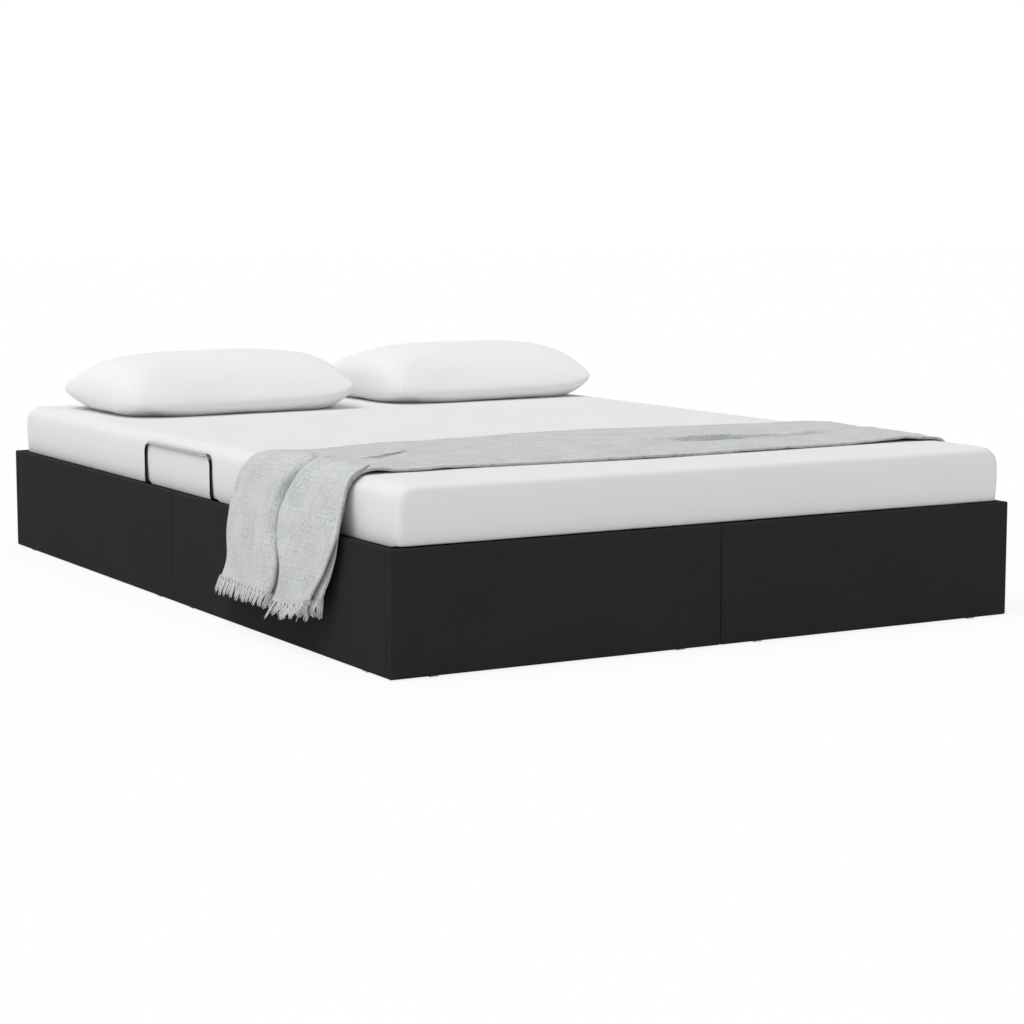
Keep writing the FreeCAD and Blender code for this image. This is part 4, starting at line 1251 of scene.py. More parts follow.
@dataclass
class Mattress:
    """Foam mattress in a stretch cover with a rolled upper edge and sides that belly out."""

    roll: float = 0.0095
    side_roll: float = 0.03
    low_roll: float = 0.004
    roll_turns: tuple[int, ...] = (45, 39, 33, 27, 20, 12, 0)
    roll_change: float = 0.08
    corner: float = 0.008
    top_corner: float = 0.022
    over: float = 0.006
    bulge: float = 0.004
    crown: float = 0.0015
    # How much the top rises at the foot end and at the head end
    rise: Pair = (0.0035, -0.0005)
    step: float = 0.028
    uneven: float = 0.0012
    uneven_scale: float = 3.5
    uneven_seed: float = 7.3
    pressure: float = 3.0
    frames: int = 12
    reach: float = 0.002
    fill: float = 0.95
    # How far the lower edge droops, and the starts and widths over which it does
    droop: float = 0.005
    droop_side: Pair = (0.001, 0.006)
    droop_rim: Pair = (0.006, 0.02)
    droop_legs: Pair = (0.012, 0.012)
    droop_height: float = 0.03

    def lines(self, length: float, first: float, last: float) -> Array:
        """Grid lines along one side, close together where it rolls.

        Args:
            length: the side's length.
            first, last: the roll at its first and last end.

        Returns:
            Places of the lines.
        """
        turns = 1 - np.tan(np.radians(self.roll_turns))
        start, end = first * turns, length - last * turns[::-1]
        count = max(3, round((end[0] - start[-1]) / self.step))
        return np.concatenate([start[:-1], np.linspace(start[-1], end[0], count + 1), end[1:]])

    def rolled(self, flat: Array, full: Array) -> Array:
        """Points of the cover with its edges rolled, its sides bellied and its top crowned.

        Args:
            flat: points of the square box.
            full: its width, length and height.

        Returns:
            The points, from the box's lowest corner.
        """
        height = flat[:, 2] / full[2]
        upper = ease(height * 3 - 2)
        room = np.minimum(flat[:, :2], full[:2] - flat[:, :2])
        beside = ease(0.5 + (room[:, 1] - room[:, 0]) / self.roll_change)
        roll = between(self.roll, self.side_roll, beside)
        soft = np.stack([between(self.corner, self.side_roll, upper),
                         between(self.corner, self.top_corner, upper),
                         np.where(height > 0.5, roll, self.low_roll)], axis=1)
        inner = np.clip(flat, soft, full - soft)
        way = (flat - inner) / soft
        way /= np.linalg.norm(way, axis=1)[:, None]
        middle = dome(2 * flat[:, :2] / full[:2] - 1, 2, 1).prod(1)
        points = inner + way * soft
        points[:, :2] += way[:, :2] * (self.bulge * (1 - (2 * height - 1) ** 2))[:, None]
        points[:, 2] += self.crown * np.sqrt(middle) * np.clip(way[:, 2], 0, 1)
        rough = waver(points, self.uneven_scale, self.uneven_seed) - 0.5
        return points + way * (self.uneven * rough)[:, None]

    def build(self, material: Material) -> None:
        """Make the mattress in place of its node.

        Args:
            material: the cover's cloth.
        """
        low, high = corners("mattress")
        wider = 2 * (self.over - self.bulge)
        full = high - low + np.array([wider, wider, -self.crown])
        flat, faces, axes = box_grid([self.lines(full[0], self.side_roll, self.side_roll),
                                      self.lines(full[1], self.roll, self.roll),
                                      self.lines(full[2], self.low_roll, self.side_roll)])
        start = (low + high) / 2 - full / 2
        points = self.rolled(flat, full) + np.array([start[0], start[1], low[2]])
        flat_axes = ((1, 2), (0, 2), (0, 1))
        uv = [points[spot, flat_axes[axis]] for face, axis in zip(faces, axes) for spot in face]
        piece = mesh_object("mattress_body", points, faces, np.array(uv))
        swell(piece, self.pressure, self.frames, self.reach)
        points = places(piece.data)
        points[:, 2] = np.clip(points[:, 2], low[2], high[2])
        share = (points - low) / (high - low)
        points[:, 2] += between(*self.rise, share[:, 1]) * ease(share[:, 2])
        put(piece.data, points)
        refine(piece)
        points = places(piece.data)
        points[:, 2] -= self.sag(points, low[2])
        put(piece.data, points)
        join_in(piece, Body.PLATFORM, Slot.MATTRESS, material, "mattress")

    def sag(self, points: Array, floor: float) -> Array:
        """How far each point sinks beside the platform, clear of the foot rim and the rods' legs.

        Args:
            points: places of the mattress's points.
            floor: height of its underside.

        Returns:
            The way down for each point.
        """
        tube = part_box("right_side_tube")[1][0]
        low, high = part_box("left_retainer")
        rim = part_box("foot_panel_left_cover")[1][1]
        x, y, z = points.T
        legs = np.minimum(np.abs(y - low[1]), np.abs(y - high[1]))
        share = ramp(np.abs(x) - tube, *self.droop_side) * ramp(y - rim, *self.droop_rim)
        share *= ramp(legs, *self.droop_legs) * np.clip(1 - (z - floor) / self.droop_height, 0, 1)
        return self.droop * share


@dataclass
class Pillow:
    """Full pillow: crowned, rounded in plan, flat where it lies on the mattress."""

    node: str
    seed: float
    turn: float
    shift: Pair
    grow: Triple
    cells: tuple[int, int] = (84, 66)
    # Where on the diagonal the corner towards foot and left turns blunt, and over what width
    blunt: Pair = (0.4, 1.2)
    # Power and softness of the crown towards ends and sides, and how much fuller the right end is
    ends: Pair = (3.3, 0.36)
    sides: Pair = (2.0, 0.77)
    shoulder: float = 0.4
    # Power, softness and depth of the flat underside, and how sharply it meets the mattress
    rest: Triple = (2.3, 0.74, 2.8)
    rest_limit: int = 6
    square: float = 5.0
    # Height of the seam, its drop at the blunt corner and the foot side, and its rise at the tips
    seam: float = 0.31
    seam_drop: Pair = (0.4, 0.35)
    seam_rise: Pair = (0.25, 0.13)
    pull: float = 0.024
    tip: float = 0.085
    slack: float = 1.1
    pressure: float = 4.0
    frames: int = 20
    reach: float = 0.006
    smoothing: int = 7
    # Depth of the dents, and the scale and share of each size of them
    dent: float = 0.0035
    dents: tuple[Pair, ...] = ((6.0, 0.7), (15.0, 0.3))
    fill: float = 0.8

    def profile(self, s: Array, t: Array) -> tuple[Array, Array, Array]:
        """Form of the case over a grid from -1 to 1 both ways.

        Args:
            s: places across the bed.
            t: places along the bed.

        Returns:
            The shrink of the outline, and the heights of the upper and the lower face as shares.
        """
        blunt = ramp(-s - t, *self.blunt)
        drawn = 1 - blunt
        out = np.maximum(np.abs(s), np.abs(t))
        wide, deep = (np.abs(way / np.maximum(out, TINY)) ** self.square for way in (s, t))
        both_ways = np.maximum(wide + deep, TINY)
        shrink = both_ways ** (-blunt / self.square) * (1 - self.tip * (s * t) ** 6 * drawn)
        endwise = wide / both_ways
        blend = [end * endwise + side * (1 - endwise) for end, side in zip(self.ends, self.sides)]
        full = dome(out, *blend)
        power, soft = self.ends
        slim = dome(s, power, soft * (1 - self.shoulder * ease(s))) * dome(t, *self.sides)
        hill = full * blunt + slim * drawn
        power, soft, depth = self.rest
        under = depth * (dome(s, power, 1) * dome(t, power, 1)) ** soft
        under = under / (1 + under ** self.rest_limit) ** (1 / self.rest_limit)
        beside = ease(-t) * drawn * (1 - np.abs(s) ** 5)
        drop = self.seam_drop[0] * blunt + self.seam_drop[1] * beside
        rise = (self.seam_rise[0] + self.seam_rise[1] * s) * (s * t) ** 4 * drawn
        seam = self.seam * (1 - drop) * (1 + rise)
        return shrink, between(seam, 1, hill), seam * (1 - under)

    def form(self, size: Array) -> Object:
        """Sewn case before it swells: two faces that share their seam.

        Args:
            size: width, depth and height that the pillow ends with.

        Returns:
            The case, about the middle of its underside.
        """
        nx, ny = self.cells
        spread = [0.5 * np.sin(line * math.pi / 2) + 0.5 * line
                  for line in (np.linspace(-1, 1, nx + 1), np.linspace(-1, 1, ny + 1))]
        s, t = np.meshgrid(*spread, indexing="ij")
        shrink, upper, lower = self.profile(s, t)
        x = size[0] / 2 * s * (1 - self.pull * (1 - t * t)) * shrink
        y = size[1] / 2 * t * (1 - self.pull * (1 - s * s)) * shrink
        points, uv, number, faces = [], [], {}, []
        for layer, z in ((1, upper), (-1, lower)):
            for i in range(nx + 1):
                for j in range(ny + 1):
                    if layer < 0 and (i in (0, nx) or j in (0, ny)):
                        number[layer, i, j] = number[1, i, j]
                        continue
                    number[layer, i, j] = len(points)
                    points.append((x[i, j], y[i, j], z[i, j] * size[2]))
                    uv.append((i / nx * size[0] * self.slack, j / ny * size[1] * self.slack))
        for layer in (1, -1):
            for i in range(nx):
                for j in range(ny):
                    faces.append([number[layer, i + a, j + b] for a, b in QUAD[::layer]])
        return mesh_object(self.node + "_case", np.array(points), faces, np.array(uv))

    def build(self, material: Material) -> None:
        """Make the pillow in place of its node.

        Args:
            material: the case's cloth.
        """
        low, high = corners(self.node)
        size = high - low + np.array(self.grow)
        piece = self.form(size)
        swell(piece, self.pressure, self.frames, self.reach)
        smooth(piece, self.smoothing)
        points = places(piece.data)
        normals = np.zeros(points.size, np.float32)
        piece.data.vertex_normals.foreach_get("vector", normals)
        soft = sum(share * waver(points, scale, self.seed + 3 * k)
                   for k, (scale, share) in enumerate(self.dents))
        points += normals.reshape(-1, 3) * (self.dent * soft)[:, None]
        cos, sin = math.cos(self.turn), math.sin(self.turn)
        points[:, :2] = points[:, :2] @ np.array([[cos, sin], [-sin, cos]])
        for axis in (0, 1):
            points[:, axis] -= (points[:, axis].min() + points[:, axis].max()) / 2
            points[:, axis] *= size[axis] / np.ptp(points[:, axis])
        points[:, 2] = np.maximum(points[:, 2] * size[2] / points[:, 2].max(), 0)
        put(piece.data, points + np.array([*(low + high)[:2] / 2 + np.array(self.shift), low[2]]))
        join_in(refine(piece), Body.PLATFORM, Slot.PILLOW, material, self.node)


@dataclass
class Fringe:
    """Bunches of three yarns along a hem of the throw."""

    cloth: float
    length: float = 0.025
    wide: float = 0.006
    thick: float = 0.0034
    pitch: float = 0.018
    # Place, bow and end of each yarn, in shares of the bunch's sizes
    yarns: tuple[Triple, ...] = ((-0.6, 0.3, 0.92), (0.0, -0.3, 1.0), (0.6, 0.2, 0.86))
    yarn: float = 0.52
    yarn_sides: int = 6
    yarn_steps: int = 4
    yarn_taper: float = 0.4
    lean: Triple = (0.2, 0.35, 0.4)
    long: Pair = (0.75, 1.15)
    # How much the bunches lean in all and more at the near end, and where that starts
    splay: Pair = (0.35, 0.9)
    splay_from: Pair = (-0.56, -0.05)

    def rule(self, name: str, seed: int, material: Material) -> Rule:
        """Bunches at even steps along a line, each leaning its own way.

        Args:
            name: the rule's name.
            seed: seed of the bunches' lean and length.
            material: the yarn.

        Returns:
            The rule, which takes the way of fall and the splay along the line.
        """
        rule = Rule(name, Length=self.length, Wide=self.wide, Thick=self.thick, Pitch=self.pitch)
        line = rule.add("GeometryNodeMeshToCurve", {0: rule.source})
        line = rule.add("GeometryNodeResampleCurve", {"Curve": line, "Length": rule.size("Pitch")},
                        {"mode": "LENGTH"})
        share = rule.add("GeometryNodeSplineParameter", out="Factor")
        ring = rule.ring(self.yarn_sides, self.yarn)
        yarns = []
        for side, bow, end in self.yarns:
            path = {"Start": (side, 0, -0.2), "Start Handle": (side, bow, 0.25),
                    "End Handle": (side * 1.1, -bow, 0.6), "End": (side * 1.15, bow, end),
                    "Resolution": self.yarn_steps}
            yarn = rule.add("GeometryNodeCurvePrimitiveBezierSegment", path)
            yarns.append(rule.sweep(yarn, ring, 1.0 - share * self.yarn_taper))
        turn = rule.turned("Z", rule.named("fall", "FLOAT_VECTOR"))
        turn = rule.turned("X", rule.add("GeometryNodeInputTangent"), Rotation=turn)
        back = tuple(-part for part in self.lean)
        lean = rule.add("FunctionNodeRandomValue", {0: back, 1: self.lean, "Seed": seed},
                        {"data_type": "FLOAT_VECTOR"})
        lean = rule.add("ShaderNodeVectorMath", {0: lean, "Scale": rule.named("splay")},
                        {"operation": "SCALE"})
        lean = rule.add("FunctionNodeEulerToRotation", {0: lean})
        turn = rule.add("FunctionNodeRotateRotation", {0: turn, 1: lean},
                        {"rotation_space": "LOCAL"})
        low, high = self.long
        long = rule.add("FunctionNodeRandomValue", {2: low, 3: high, "Seed": seed + 1},
                        {"data_type": "FLOAT"}, 1) * rule.size("Length")
        scale = rule.vector(rule.size("Wide"), rule.size("Thick"), long)
        bunch = rule.smooth(rule.joined(*yarns))
        return rule.end(rule.copies(line, bunch, Rotation=turn, Scale=scale), material)

    def build(self, name: str, hem: Array, inner: Array, seed: int,
              material: Material) -> Object:
        """Make the fringe of one hem.

        Args:
            name: the piece's name.
            hem: points of the hem.
            inner: points a little way into the cloth.
            seed: seed of the bunches' lean and length.
            material: the yarn.

        Returns:
            The fringe.
        """
        fall = hem - inner
        fall /= np.linalg.norm(fall, axis=1)[:, None]
        shift = np.array([np.sign(hem[:, 0].mean()) * self.cloth / 2, 0, 0])
        splay = self.splay[0] + self.splay[1] * ramp(hem[:, 1], *self.splay_from)
        rule = self.rule(name + "_rule", seed, material)
        piece = rule.grow(name, hem + shift, True, fall=fall, splay=splay)
        lay_uv(piece.data, places(piece.data)[:, 1:])
        return join_in(piece, Body.PLATFORM, Slot.THROW, material)


@dataclass(frozen=True)
class Tuck:
    """Fold where the throw is drawn over the cloth before it, along an arc or a slanting line."""

    level: float
    middle: float
    slant: float
    bend: float
    # Starts and widths of the soft steps at both ends of the line
    start: Pair
    end: Pair
    # Width of the climb, what is added where it widens, and how much of it lies before the line
    slope: Pair
    lead: float
    fade: float
    height: float
    draw: float
    widens: Pair = (0.14, -0.12)
    # Share, centre and width of a steeper place
    peak: Triple = (0.0, 0.2, 0.08)

    def share(self, x: Array, y: Array) -> Array:
        """Share of the tuck's height at every point.

        Args:
            x, y: places of the cloth's points.

        Returns:
            The share, from 0 to 1.
        """
        away = x - self.middle
        gap = y - self.level - self.slant * away - self.bend * away ** 2
        slope = self.slope[0] + self.slope[1] * ramp(x, *self.widens)
        part, centre, width = self.peak
        window = ramp(x, *self.start) * ramp(x, *self.end)
        window *= 1 - part + part * bell(x, centre, width)
        climb = ease((gap + self.lead * slope) / slope)
        return climb * np.exp(-np.clip(gap, 0, None) / self.fade) * window


Lines = tuple[tuple[float, ...], tuple[float, ...], tuple[float, ...]]


@dataclass
class Throw:
    """Fringed blanket laid across the mattress, which hangs in two lapped folds on the left."""

    width: float = 0.6
    length: float = 1.93
    thick: float = 0.0028
    rows: int = 240
    columns: int = 140
    # Path over the bed: clearances, the hem's height and flare, the roll over the mattress's edge
    clear: float = 0.0015
    rise: float = 0.0025
    hem_z: float = 0.094
    flare: float = 0.0165
    sill_gap: float = 0.004
    over_rim: Pair = (0.002, 0.014)
    beside: tuple[Pair, ...] = ((0.014, 0.034), (0.009, 0.055))
    roll: float = 0.026
    roll_gap: float = 0.004
    top_span: Pair = (-0.6, -0.03)
    # Heights on the hanging sides and places across the top at which the lines below are given
    hang_z: tuple[float, ...] = (0.085, 0.118, 0.14, 0.164, 0.2, 0.238, 0.273, 0.3, 0.335)
    top_x: tuple[float, ...] = (-0.66, -0.56, -0.47, -0.41, -0.28, -0.15, -0.05,
                                0.1, 0.3, 0.5, 0.66)
    # Places along Y on the left side, across the top and on the right side
    near: Lines = (
        (-0.78, -0.789, -0.8, -0.81, -0.821, -0.827, -0.815, -0.814, -0.819),
        (-0.832, -0.843, -0.835, -0.838, -0.85, -0.86, -0.866, -0.86, -0.854, -0.846, -0.842),
        (-0.8, -0.805, -0.81, -0.815, -0.82, -0.825, -0.83, -0.835, -0.84))
    pleat: Lines = (
        (-0.555, -0.58, -0.592, -0.588, -0.553, -0.558, -0.557, -0.57, -0.6),
        (-0.618, -0.6, -0.56, -0.54, -0.54, -0.54, -0.54, -0.55, -0.55, -0.56, -0.57),
        (-0.54, -0.545, -0.55, -0.55, -0.555, -0.56, -0.56, -0.565, -0.57))
    far: Lines = (
        (-0.298, -0.325, -0.335, -0.325, -0.312, -0.322, -0.317, -0.318, -0.34),
        (-0.372, -0.4, -0.37, -0.345, -0.342, -0.325, -0.31, -0.302, -0.335, -0.37, -0.39),
        (-0.33, -0.335, -0.34, -0.345, -0.35, -0.36, -0.37, -0.38, -0.388))
    # How far the upper layer's near edge stands back from the lower one's on the left side
    lap: tuple[float, ...] = (0.035, 0.021, 0.016, 0.01, 0.003, -0.018, -0.017, -0.016, -0.011)
    # Left side, where the near edge lies in three layers and a pleat divides two full folds.
    # Each point has its guide line (0 near edge, 1 upper layer's edge, 2 pleat, 3 far edge),
    # its offset along Y and its height
    lapped: tuple[Triple, ...] = (
        (0, 0.055, 0.0045), (0, 0.012, 0.0045), (0, 0.0, 0.0055), (0, 0.012, 0.0065),
        (1, 0.03, 0.0068), (1, 0.04, 0.0105), (1, 0.026, 0.0142), (1, 0.008, 0.0145),
        (1, 0.0, 0.0158), (1, 0.01, 0.0175), (1, 0.045, 0.021), (1.36, 0.0, 0.0235),
        (1.6, 0.0, 0.0185), (1.82, 0.0, 0.0235))
    pleat_low: tuple[Pair, ...] = (
        (-0.05, 0.0135), (-0.012, 0.007), (0.008, 0.0072), (-0.006, 0.015), (0.008, 0.0235))
    pleat_high: tuple[Pair, ...] = (
        (-0.045, 0.0185), (-0.012, 0.0115), (0.003, 0.0035), (0.007, 0.011), (0.024, 0.0215))
    beyond: tuple[Triple, ...] = (
        (2.4, 0.0, 0.021), (2.72, 0.0, 0.017), (3, -0.022, 0.011), (3, 0.0, 0.005))
    flatter: Pair = (0.6, 0.4)
    # Top and right side: a turned near edge, one layer in shallow folds, and the far edge
    turned: tuple[Pair, ...] = (
        (0.03, 0.0016), (0.012, 0.0016), (0.0, 0.0022), (0.01, 0.003), (0.03, 0.0034))
    inset: Pair = (0.03, 0.02)
    layer: float = 0.0055
    folds: int = 16
    fold: float = 0.009
    fold_wave: Pair = (1.9, 0.6)
    ended: tuple[Pair, ...] = ((-0.016, 0.004), (0.0, 0.001))
    # Start and width of the hanging sides, the pleat's upper part and the left side
    hangs: Pair = (0.35, -0.07)
    pleat_up: Pair = (0.16, 0.05)
    left_from: Pair = (-0.6, -0.075)
    # Height, centre and width of the places where the near edge bridges the mattress's rolls,
    # and how many points across they reach
    bridges: tuple[Triple, ...] = ((0.006, -0.645, 0.03), (0.005, 0.58, 0.06))
    bridge_points: int = 9
    # Wrinkles: height and offset, the stretch, scale, seed and share of each size of them,
    # and the calm margin in columns
    wrinkles: Pair = (0.005, 0.35)
    grains: tuple[tuple[Triple, float, float, float], ...] = (
        ((0.6, 1.0, 0.8), 11.0, 2.3, 0.6), ((1.0, 1.0, 1.0), 26.0, 4.4, 0.4))
    margin: int = 16
    calm: float = 0.15
    # An arc on the right and a short slanting line on the left
    tucks: tuple[Tuck, ...] = (
        Tuck(level=-0.68, middle=0.36, slant=0.0, bend=0.65, start=(-0.15, 0.3), end=(0.57, -0.12),
             slope=(0.01, 0.04), lead=1.0, fade=0.07, height=0.014, draw=0.013,
             peak=(0.5, 0.2, 0.08)),
        Tuck(level=-0.645, middle=-0.556, slant=0.62, bend=0.0, start=(-0.66, 0.14),
             end=(-0.44, -0.03), slope=(0.006, 0.0), lead=0.0, fade=0.035, height=0.006, draw=0.01))
    # How far the left hem is let down in all, more towards the near edge and less at it
    hem_low: Pair = (0.21, -0.12)
    hem_drop: float = 0.001
    hem_more: tuple[Triple, ...] = ((0.012, -0.56, -0.06), (-0.028, -0.66, -0.12))

    def path(self) -> Array:
        """Line of the cloth's underside from the left hem over the bed to the right hem.

        Returns:
            Points of the line as X and Z.
        """
        side, _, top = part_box("mattress")[1]
        top += self.rise
        low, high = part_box("left_side_panel_foot_cover")
        rim, sill = low[0] - self.clear, high[2]
        left = [(rim - self.flare * (1 - k), between(self.hem_z, sill - self.sill_gap, k))
                for k in np.linspace(0, 1, 13)]
        left += [(rim + self.over_rim[0], sill + self.over_rim[1])]
        left += [(-side - out, sill + up) for out, up in self.beside]
        arc = self.roll + self.clear
        for turn in np.radians(np.arange(0, 91, 10)):
            left.append((self.roll - side - self.roll_gap - arc * math.cos(turn),
                         top - self.roll + arc * math.sin(turn)))
        left += [(x, top + self.clear) for x in np.linspace(*self.top_span, 20)]
        return np.concatenate([left, np.array(left)[::-1] * np.array([-1, 1])])

    def stations(self) -> tuple[Array, Array]:
        """Even stations along the path.

        Returns:
            Points of the path as X and Z, and the outward way at each.
        """
        path = self.path()
        run = np.concatenate([[0], np.cumsum(np.linalg.norm(np.diff(path, axis=0), axis=1))])
        at = np.linspace(0, run[-1], self.rows)
        line = evened(np.stack([np.interp(at, run, path[:, k]) for k in (0, 1)], axis=1), 3)
        way = np.gradient(line, axis=0)
        way /= np.linalg.norm(way, axis=1)[:, None]
        return line, np.stack([-way[:, 1], way[:, 0]], axis=1)

    def follow(self, line: Array, lines: Lines) -> Array:
        """Place along Y of one line of the cloth, smoothed along the cloth.

        Args:
            line: the path's stations.
            lines: places on the left side, across the top and on the right side.

        Returns:
            The place at every station.
        """
        x, z = line.T
        hang = z < self.hang_z[-1]
        values = np.interp(x, self.top_x, lines[1])
        values = np.where(hang & (x < 0), np.interp(z, self.hang_z, lines[0]), values)
        values = np.where(hang & (x > 0), np.interp(z, self.hang_z, lines[2]), values)
        return evened(values, 8)

    def sections(self, line: Array) -> tuple[Array, Array]:
        """Control points across the cloth at every station.

        Args:
            line: the path's stations.

        Returns:
            Places along Y, and heights above the path, near edge to far edge.
        """
        x, z = line.T
        near, pleat, far = (self.follow(line, lines) for lines in (self.near, self.pleat, self.far))
        none = (0.0,) * len(self.top_x)
        front = near + self.follow(line, (self.lap, none, none[:len(self.hang_z)]))
        guides = (near, front, pleat, far, far)
        hang, upper, left = ramp(z, *self.hangs), ramp(z, *self.pleat_up), ramp(x, *self.left_from)

        def guided(rows: Sequence[Triple]) -> list[tuple[Any, Any]]:
            """Points on or between the guide lines."""
            return [(between(*guides[int(at):int(at) + 2], at % 1) + offset, up)
                    for at, offset, up in rows]

        folded = guided(self.lapped)
        for (y_low, low), (y_high, high) in zip(self.pleat_low, self.pleat_high):
            folded.append((pleat + between(y_low, y_high, upper), between(low, high, upper)))
        folded += guided(self.beyond)
        plain = [(near + offset, up) for offset, up in self.turned]
        for k in range(self.folds):
            turn = self.fold_wave[0] * k + self.fold_wave[1]
            wave = self.fold * (1 + math.sin(turn)) * hang * (x > 0)
            place = between(near + self.inset[0], far - self.inset[1], (k + 1) / (self.folds + 1))
            plain.append((place, self.layer + wave))
        plain += [(far + offset, up) for offset, up in self.ended]
        bridge = sum(up * bell(x, centre, wide) for up, centre, wide in self.bridges) * (1 - hang)
        across, lift = [], []
        for k, ((y_left, up_left), (y_plain, up_plain)) in enumerate(zip(folded, plain)):
            across.append(between(y_plain, y_left, left))
            full = up_left * (self.flatter[0] + self.flatter[1] * hang)
            raised = bridge * max(0.0, 1 - k / self.bridge_points)
            lift.append(between(up_plain, full, left) + raised)
        return np.stack(across, axis=1), np.stack(lift, axis=1)

    @staticmethod
    def curve(values: Array, t: Array) -> Array:
        """Smooth curve through the control points of every row.

        Args:
            values: control values, one row for each station.
            t: places between the control points.

        Returns:
            The values at those places.
        """
        count = values.shape[1]
        low = np.clip(np.floor(t).astype(int), 0, count - 2)
        part = t - low
        a, b, c, d = (values[:, np.clip(low + k, 0, count - 1)] for k in (-1, 0, 1, 2))
        return 0.5 * (2 * b + (c - a) * part + (2 * a - 5 * b + 4 * c - d) * part ** 2
                      + (3 * b - a - 3 * c + d) * part ** 3)

    def wrinkle(self, grid: Array, out: Array) -> None:
        """Raise soft wrinkles and the tucks, and let the hem down, in place.

        Args:
            grid: points of the cloth, row by row along it.
            out: outward way of each row, as X and Z.
        """
        rows, columns = grid.shape[:2]
        flat = grid.reshape(-1, 3)
        soft = sum(share * waver(flat * np.array(stretch), scale, seed)
                   for stretch, scale, seed, share in self.grains)
        rise = self.wrinkles[0] * np.clip(soft.reshape(rows, columns) + self.wrinkles[1], 0, None)
        x, y = grid[:, :, 0], grid[:, :, 1].copy()
        for tuck in self.tucks:
            share = tuck.share(x, y)
            rise = rise + tuck.height * share
            grid[:, :, 1] -= tuck.draw * share
        edge = np.clip(np.minimum(np.arange(columns), np.arange(columns)[::-1]) / self.margin, 0, 1)
        rise = np.maximum(rise, 0) * between(self.calm, 1, edge[None, :])
        grid[:, :, 0] += out[:, :1] * rise
        grid[:, :, 2] += out[:, 1:] * rise
        low = ramp(grid[:, :, 2], *self.hem_low) * (x < 0)
        drop = self.hem_drop + sum(by * ramp(y, *span) for by, *span in self.hem_more)
        grid[:, :, 2] -= low * drop

    def build(self, cloth: Material) -> None:
        """Make the blanket and its fringes in place of the node.

        Args:
            cloth: the blanket's weave.
        """
        line, out = self.stations()
        across, lift = self.sections(line)
        t = np.linspace(0, across.shape[1] - 1, self.columns)
        y, up = (self.curve(values, t) for values in (across, lift))
        grid = np.stack([line[:, :1] + out[:, :1] * up, y, line[:, 1:] + out[:, 1:] * up], axis=2)
        self.wrinkle(grid, out)
        rows, columns = grid.shape[:2]
        steps = np.linalg.norm(np.diff(grid, axis=1), axis=2)
        run = np.cumsum(steps[:, ::-1], axis=1)[:, ::-1]
        u = np.concatenate([run, np.zeros((rows, 1))], axis=1)
        log.info("throw is %.3f wide along its folds", u[:, 0].mean())
        v = np.repeat(np.linspace(0, self.length, rows)[:, None], columns, axis=1)
        starts = [i * columns + j for i in range(rows - 1) for j in range(columns - 1)]
        faces = [(a + 1, a + columns + 1, a + columns, a) for a in starts]
        uv = np.stack([u.ravel(), v.ravel()], axis=1)
        piece = mesh_object("throw_blanket", grid.reshape(-1, 3), faces, uv)
        modified(piece, "SOLIDIFY", thickness=self.thick, offset=1.0)
        join_in(piece, Body.PLATFORM, Slot.THROW, cloth, "throw")
        fringe = Fringe(self.thick)
        fringes = [fringe.build("throw_fringe_left", grid[0], grid[3], 5, cloth),
                   fringe.build("throw_fringe_right", grid[-1], grid[-4], 9, cloth)]


# Studio


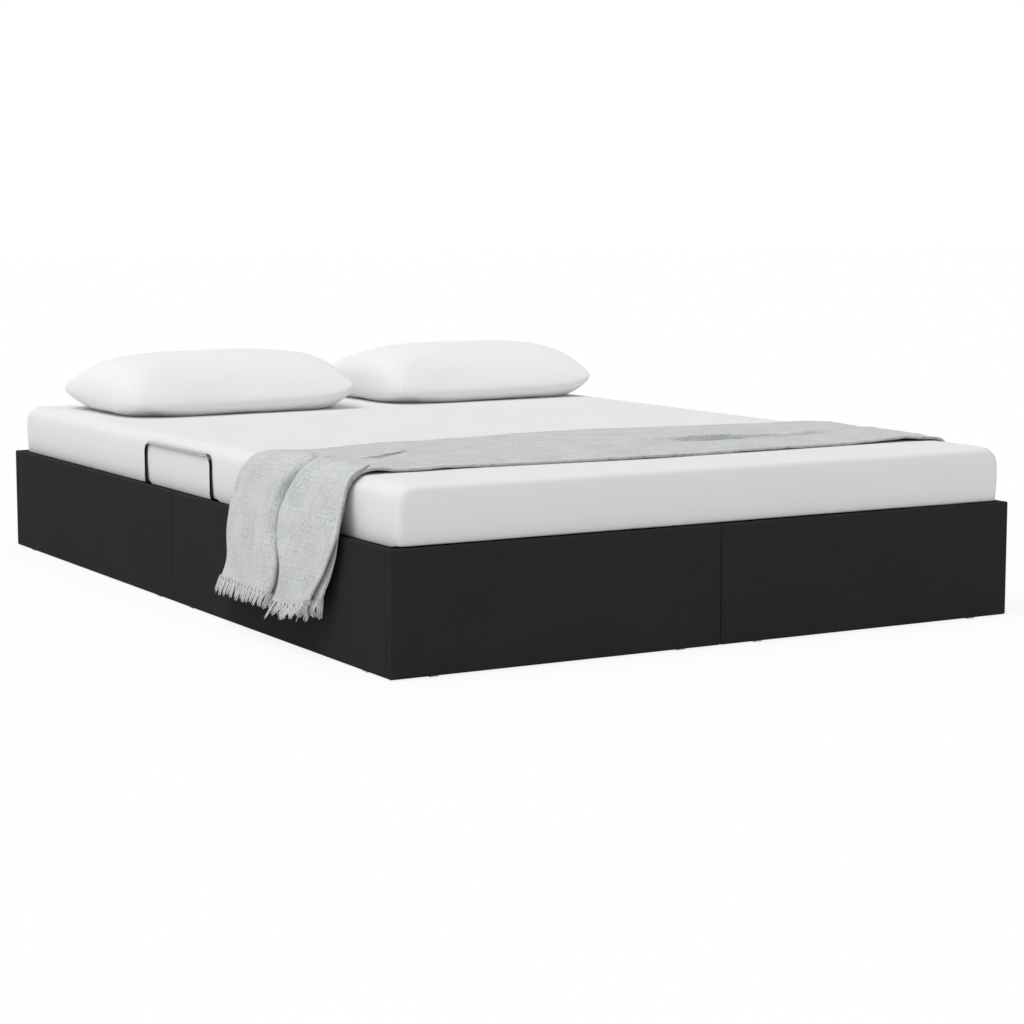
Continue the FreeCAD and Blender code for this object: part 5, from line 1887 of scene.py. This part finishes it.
@dataclass
class Studio:
    """White floor, soft light all round, a wide lamp above to the left, and the photo's camera."""

    eye: Triple = (-2.6974, -4.8843, 0.8578)
    yaw: float = 29.982
    pitch: float = 7.243
    lens: float = 86.96
    sensor: float = 36.0
    sky: float = 0.52
    white: float = 2.0
    dim: float = 0.02
    sun: float = 1.65
    sun_from: Triple = (-0.225, -0.05, 0.488)
    sun_far: float = 8.0
    sun_spread: float = 40.0
    floor_half: float = 30.0
    floor_drop: float = 0.0005
    floor_tones: Pair = (0.89, 0.91)
    # Brightness of the floor to the camera, and how much of it hides the shadow
    floor_white: Pair = (1.015, 0.85)

    def build(self) -> None:
        """Make the floor, world, lamp and camera."""
        bpy.context.scene.view_settings.view_transform = "Standard"
        self.floor()
        self.world()
        self.lamp()
        self.camera()

    @staticmethod
    def rays(tree: Tree) -> tuple[Sock, Sock]:
        """One for rays from the camera, and one for reflected rays."""
        camera = tree.add("ShaderNodeLightPath", out="Is Camera Ray")
        return camera, camera.other("Is Glossy Ray")

    def backdrop(self, ahead: Sock) -> Sock:
        """Brightness in reflections: a white backdrop behind the head end, a dim room before it."""
        ahead = ahead.maths("MAXIMUM", ahead, 0.0)
        return ahead * ahead * self.white + self.dim

    def floor(self) -> None:
        """Pale floor that stays white to the camera and keeps a soft shadow."""
        surface = Surface("white_floor")
        tones = [(tone, tone, tone, 1.0) for tone in self.floor_tones]
        tone = surface.mix(surface.grain(surface.place(), 3.0), *tones)
        matt = surface.add("ShaderNodeBsdfDiffuse", {"Color": tone})
        camera, gleam = self.rays(surface)
        ahead = surface.parts(surface.add("ShaderNodeNewGeometry", out="Incoming"))[1] * -1.0
        white, hidden = self.floor_white
        strength = camera * white + gleam * self.backdrop(ahead)
        glow = surface.add("ShaderNodeEmission", {"Color": WHITE, "Strength": strength})
        seen = surface.add("ShaderNodeMixShader", {0: camera * hidden + gleam, 1: matt, 2: glow})
        surface.add("ShaderNodeOutputMaterial", {"Surface": seen})
        half = self.floor_half
        points = [(half * (2 * a - 1), half * (2 * b - 1), -self.floor_drop) for a, b in QUAD]
        plane = mesh_object("studio_floor", np.array(points), [(0, 1, 2, 3)])
        plane.data.materials.append(surface.material)

    def world(self) -> None:
        """Even light from all round, white to the camera, with a backdrop for reflections."""
        world = bpy.data.worlds.new("studio_light")
        bpy.context.scene.world = world
        world.use_nodes = True
        world.node_tree.nodes.clear()
        tree = Tree(world.node_tree)
        camera, gleam = self.rays(tree)
        ahead = tree.parts(tree.add("ShaderNodeTexCoord", out="Generated"))[1]
        strength = camera * (1 - self.sky) + gleam * (self.backdrop(ahead) - self.sky) + self.sky
        light = tree.add("ShaderNodeBackground", {"Color": WHITE, "Strength": strength})
        tree.add("ShaderNodeOutputWorld", {"Surface": light})

    def lamp(self) -> None:
        """One wide soft source from above and a little to the left."""
        data = bpy.data.lights.new("soft_lamp", "SUN")
        data.energy = self.sun
        data.angle = math.radians(self.sun_spread)
        lamp = linked("soft_lamp", data)
        lamp.location = Vector(self.sun_from) * self.sun_far
        lamp.rotation_euler = (-Vector(self.sun_from)).to_track_quat("-Z", "Y").to_euler()

    def camera(self) -> None:
        """Camera at the photo's place."""
        data = bpy.data.cameras.new("photo_camera")
        data.lens = self.lens
        data.sensor_width = self.sensor
        camera = linked("photo_camera", data)
        camera.location = self.eye
        camera.rotation_euler = (math.radians(90 - self.pitch), 0.0, math.radians(-self.yaw))
        bpy.context.scene.camera = camera


def dress_nodes() -> None:
    """Give every node that stays its finish."""
    for finish, names in NODE_FINISHES.items():
        material = finish.make()
        for name in names:
            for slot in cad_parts[name].material_slots:
                slot.material = material
            log.info("%s: finish %s", name, finish.name)


def main() -> None:
    """Build the studio and every piece."""
    logging.basicConfig(level=logging.INFO, format="%(name)s %(message)s")
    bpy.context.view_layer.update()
    Studio().build()
    dress_nodes()
    PanelCovers().build(PANEL_CLOTH.make())
    Retainers().build(ROD_PAINT.make())
    Slats().build(BIRCH.make())
    Bolts().build(BOLT_ZINC.make())
    Mattress().build(MATTRESS_CLOTH.make())
    cotton = PILLOW_CLOTH.make()
    Pillow("left_pillow", seed=1.3, turn=0.045, shift=(0.0, -0.013),
           grow=(0.026, -0.01, 0.004)).build(cotton)
    Pillow("right_pillow", seed=6.1, turn=0.045, shift=(0.008, -0.015),
           grow=(0.026, -0.008, 0.001)).build(cotton)
    Throw().build(THROW_CLOTH.make())


if __name__ == "__main__":
    main()
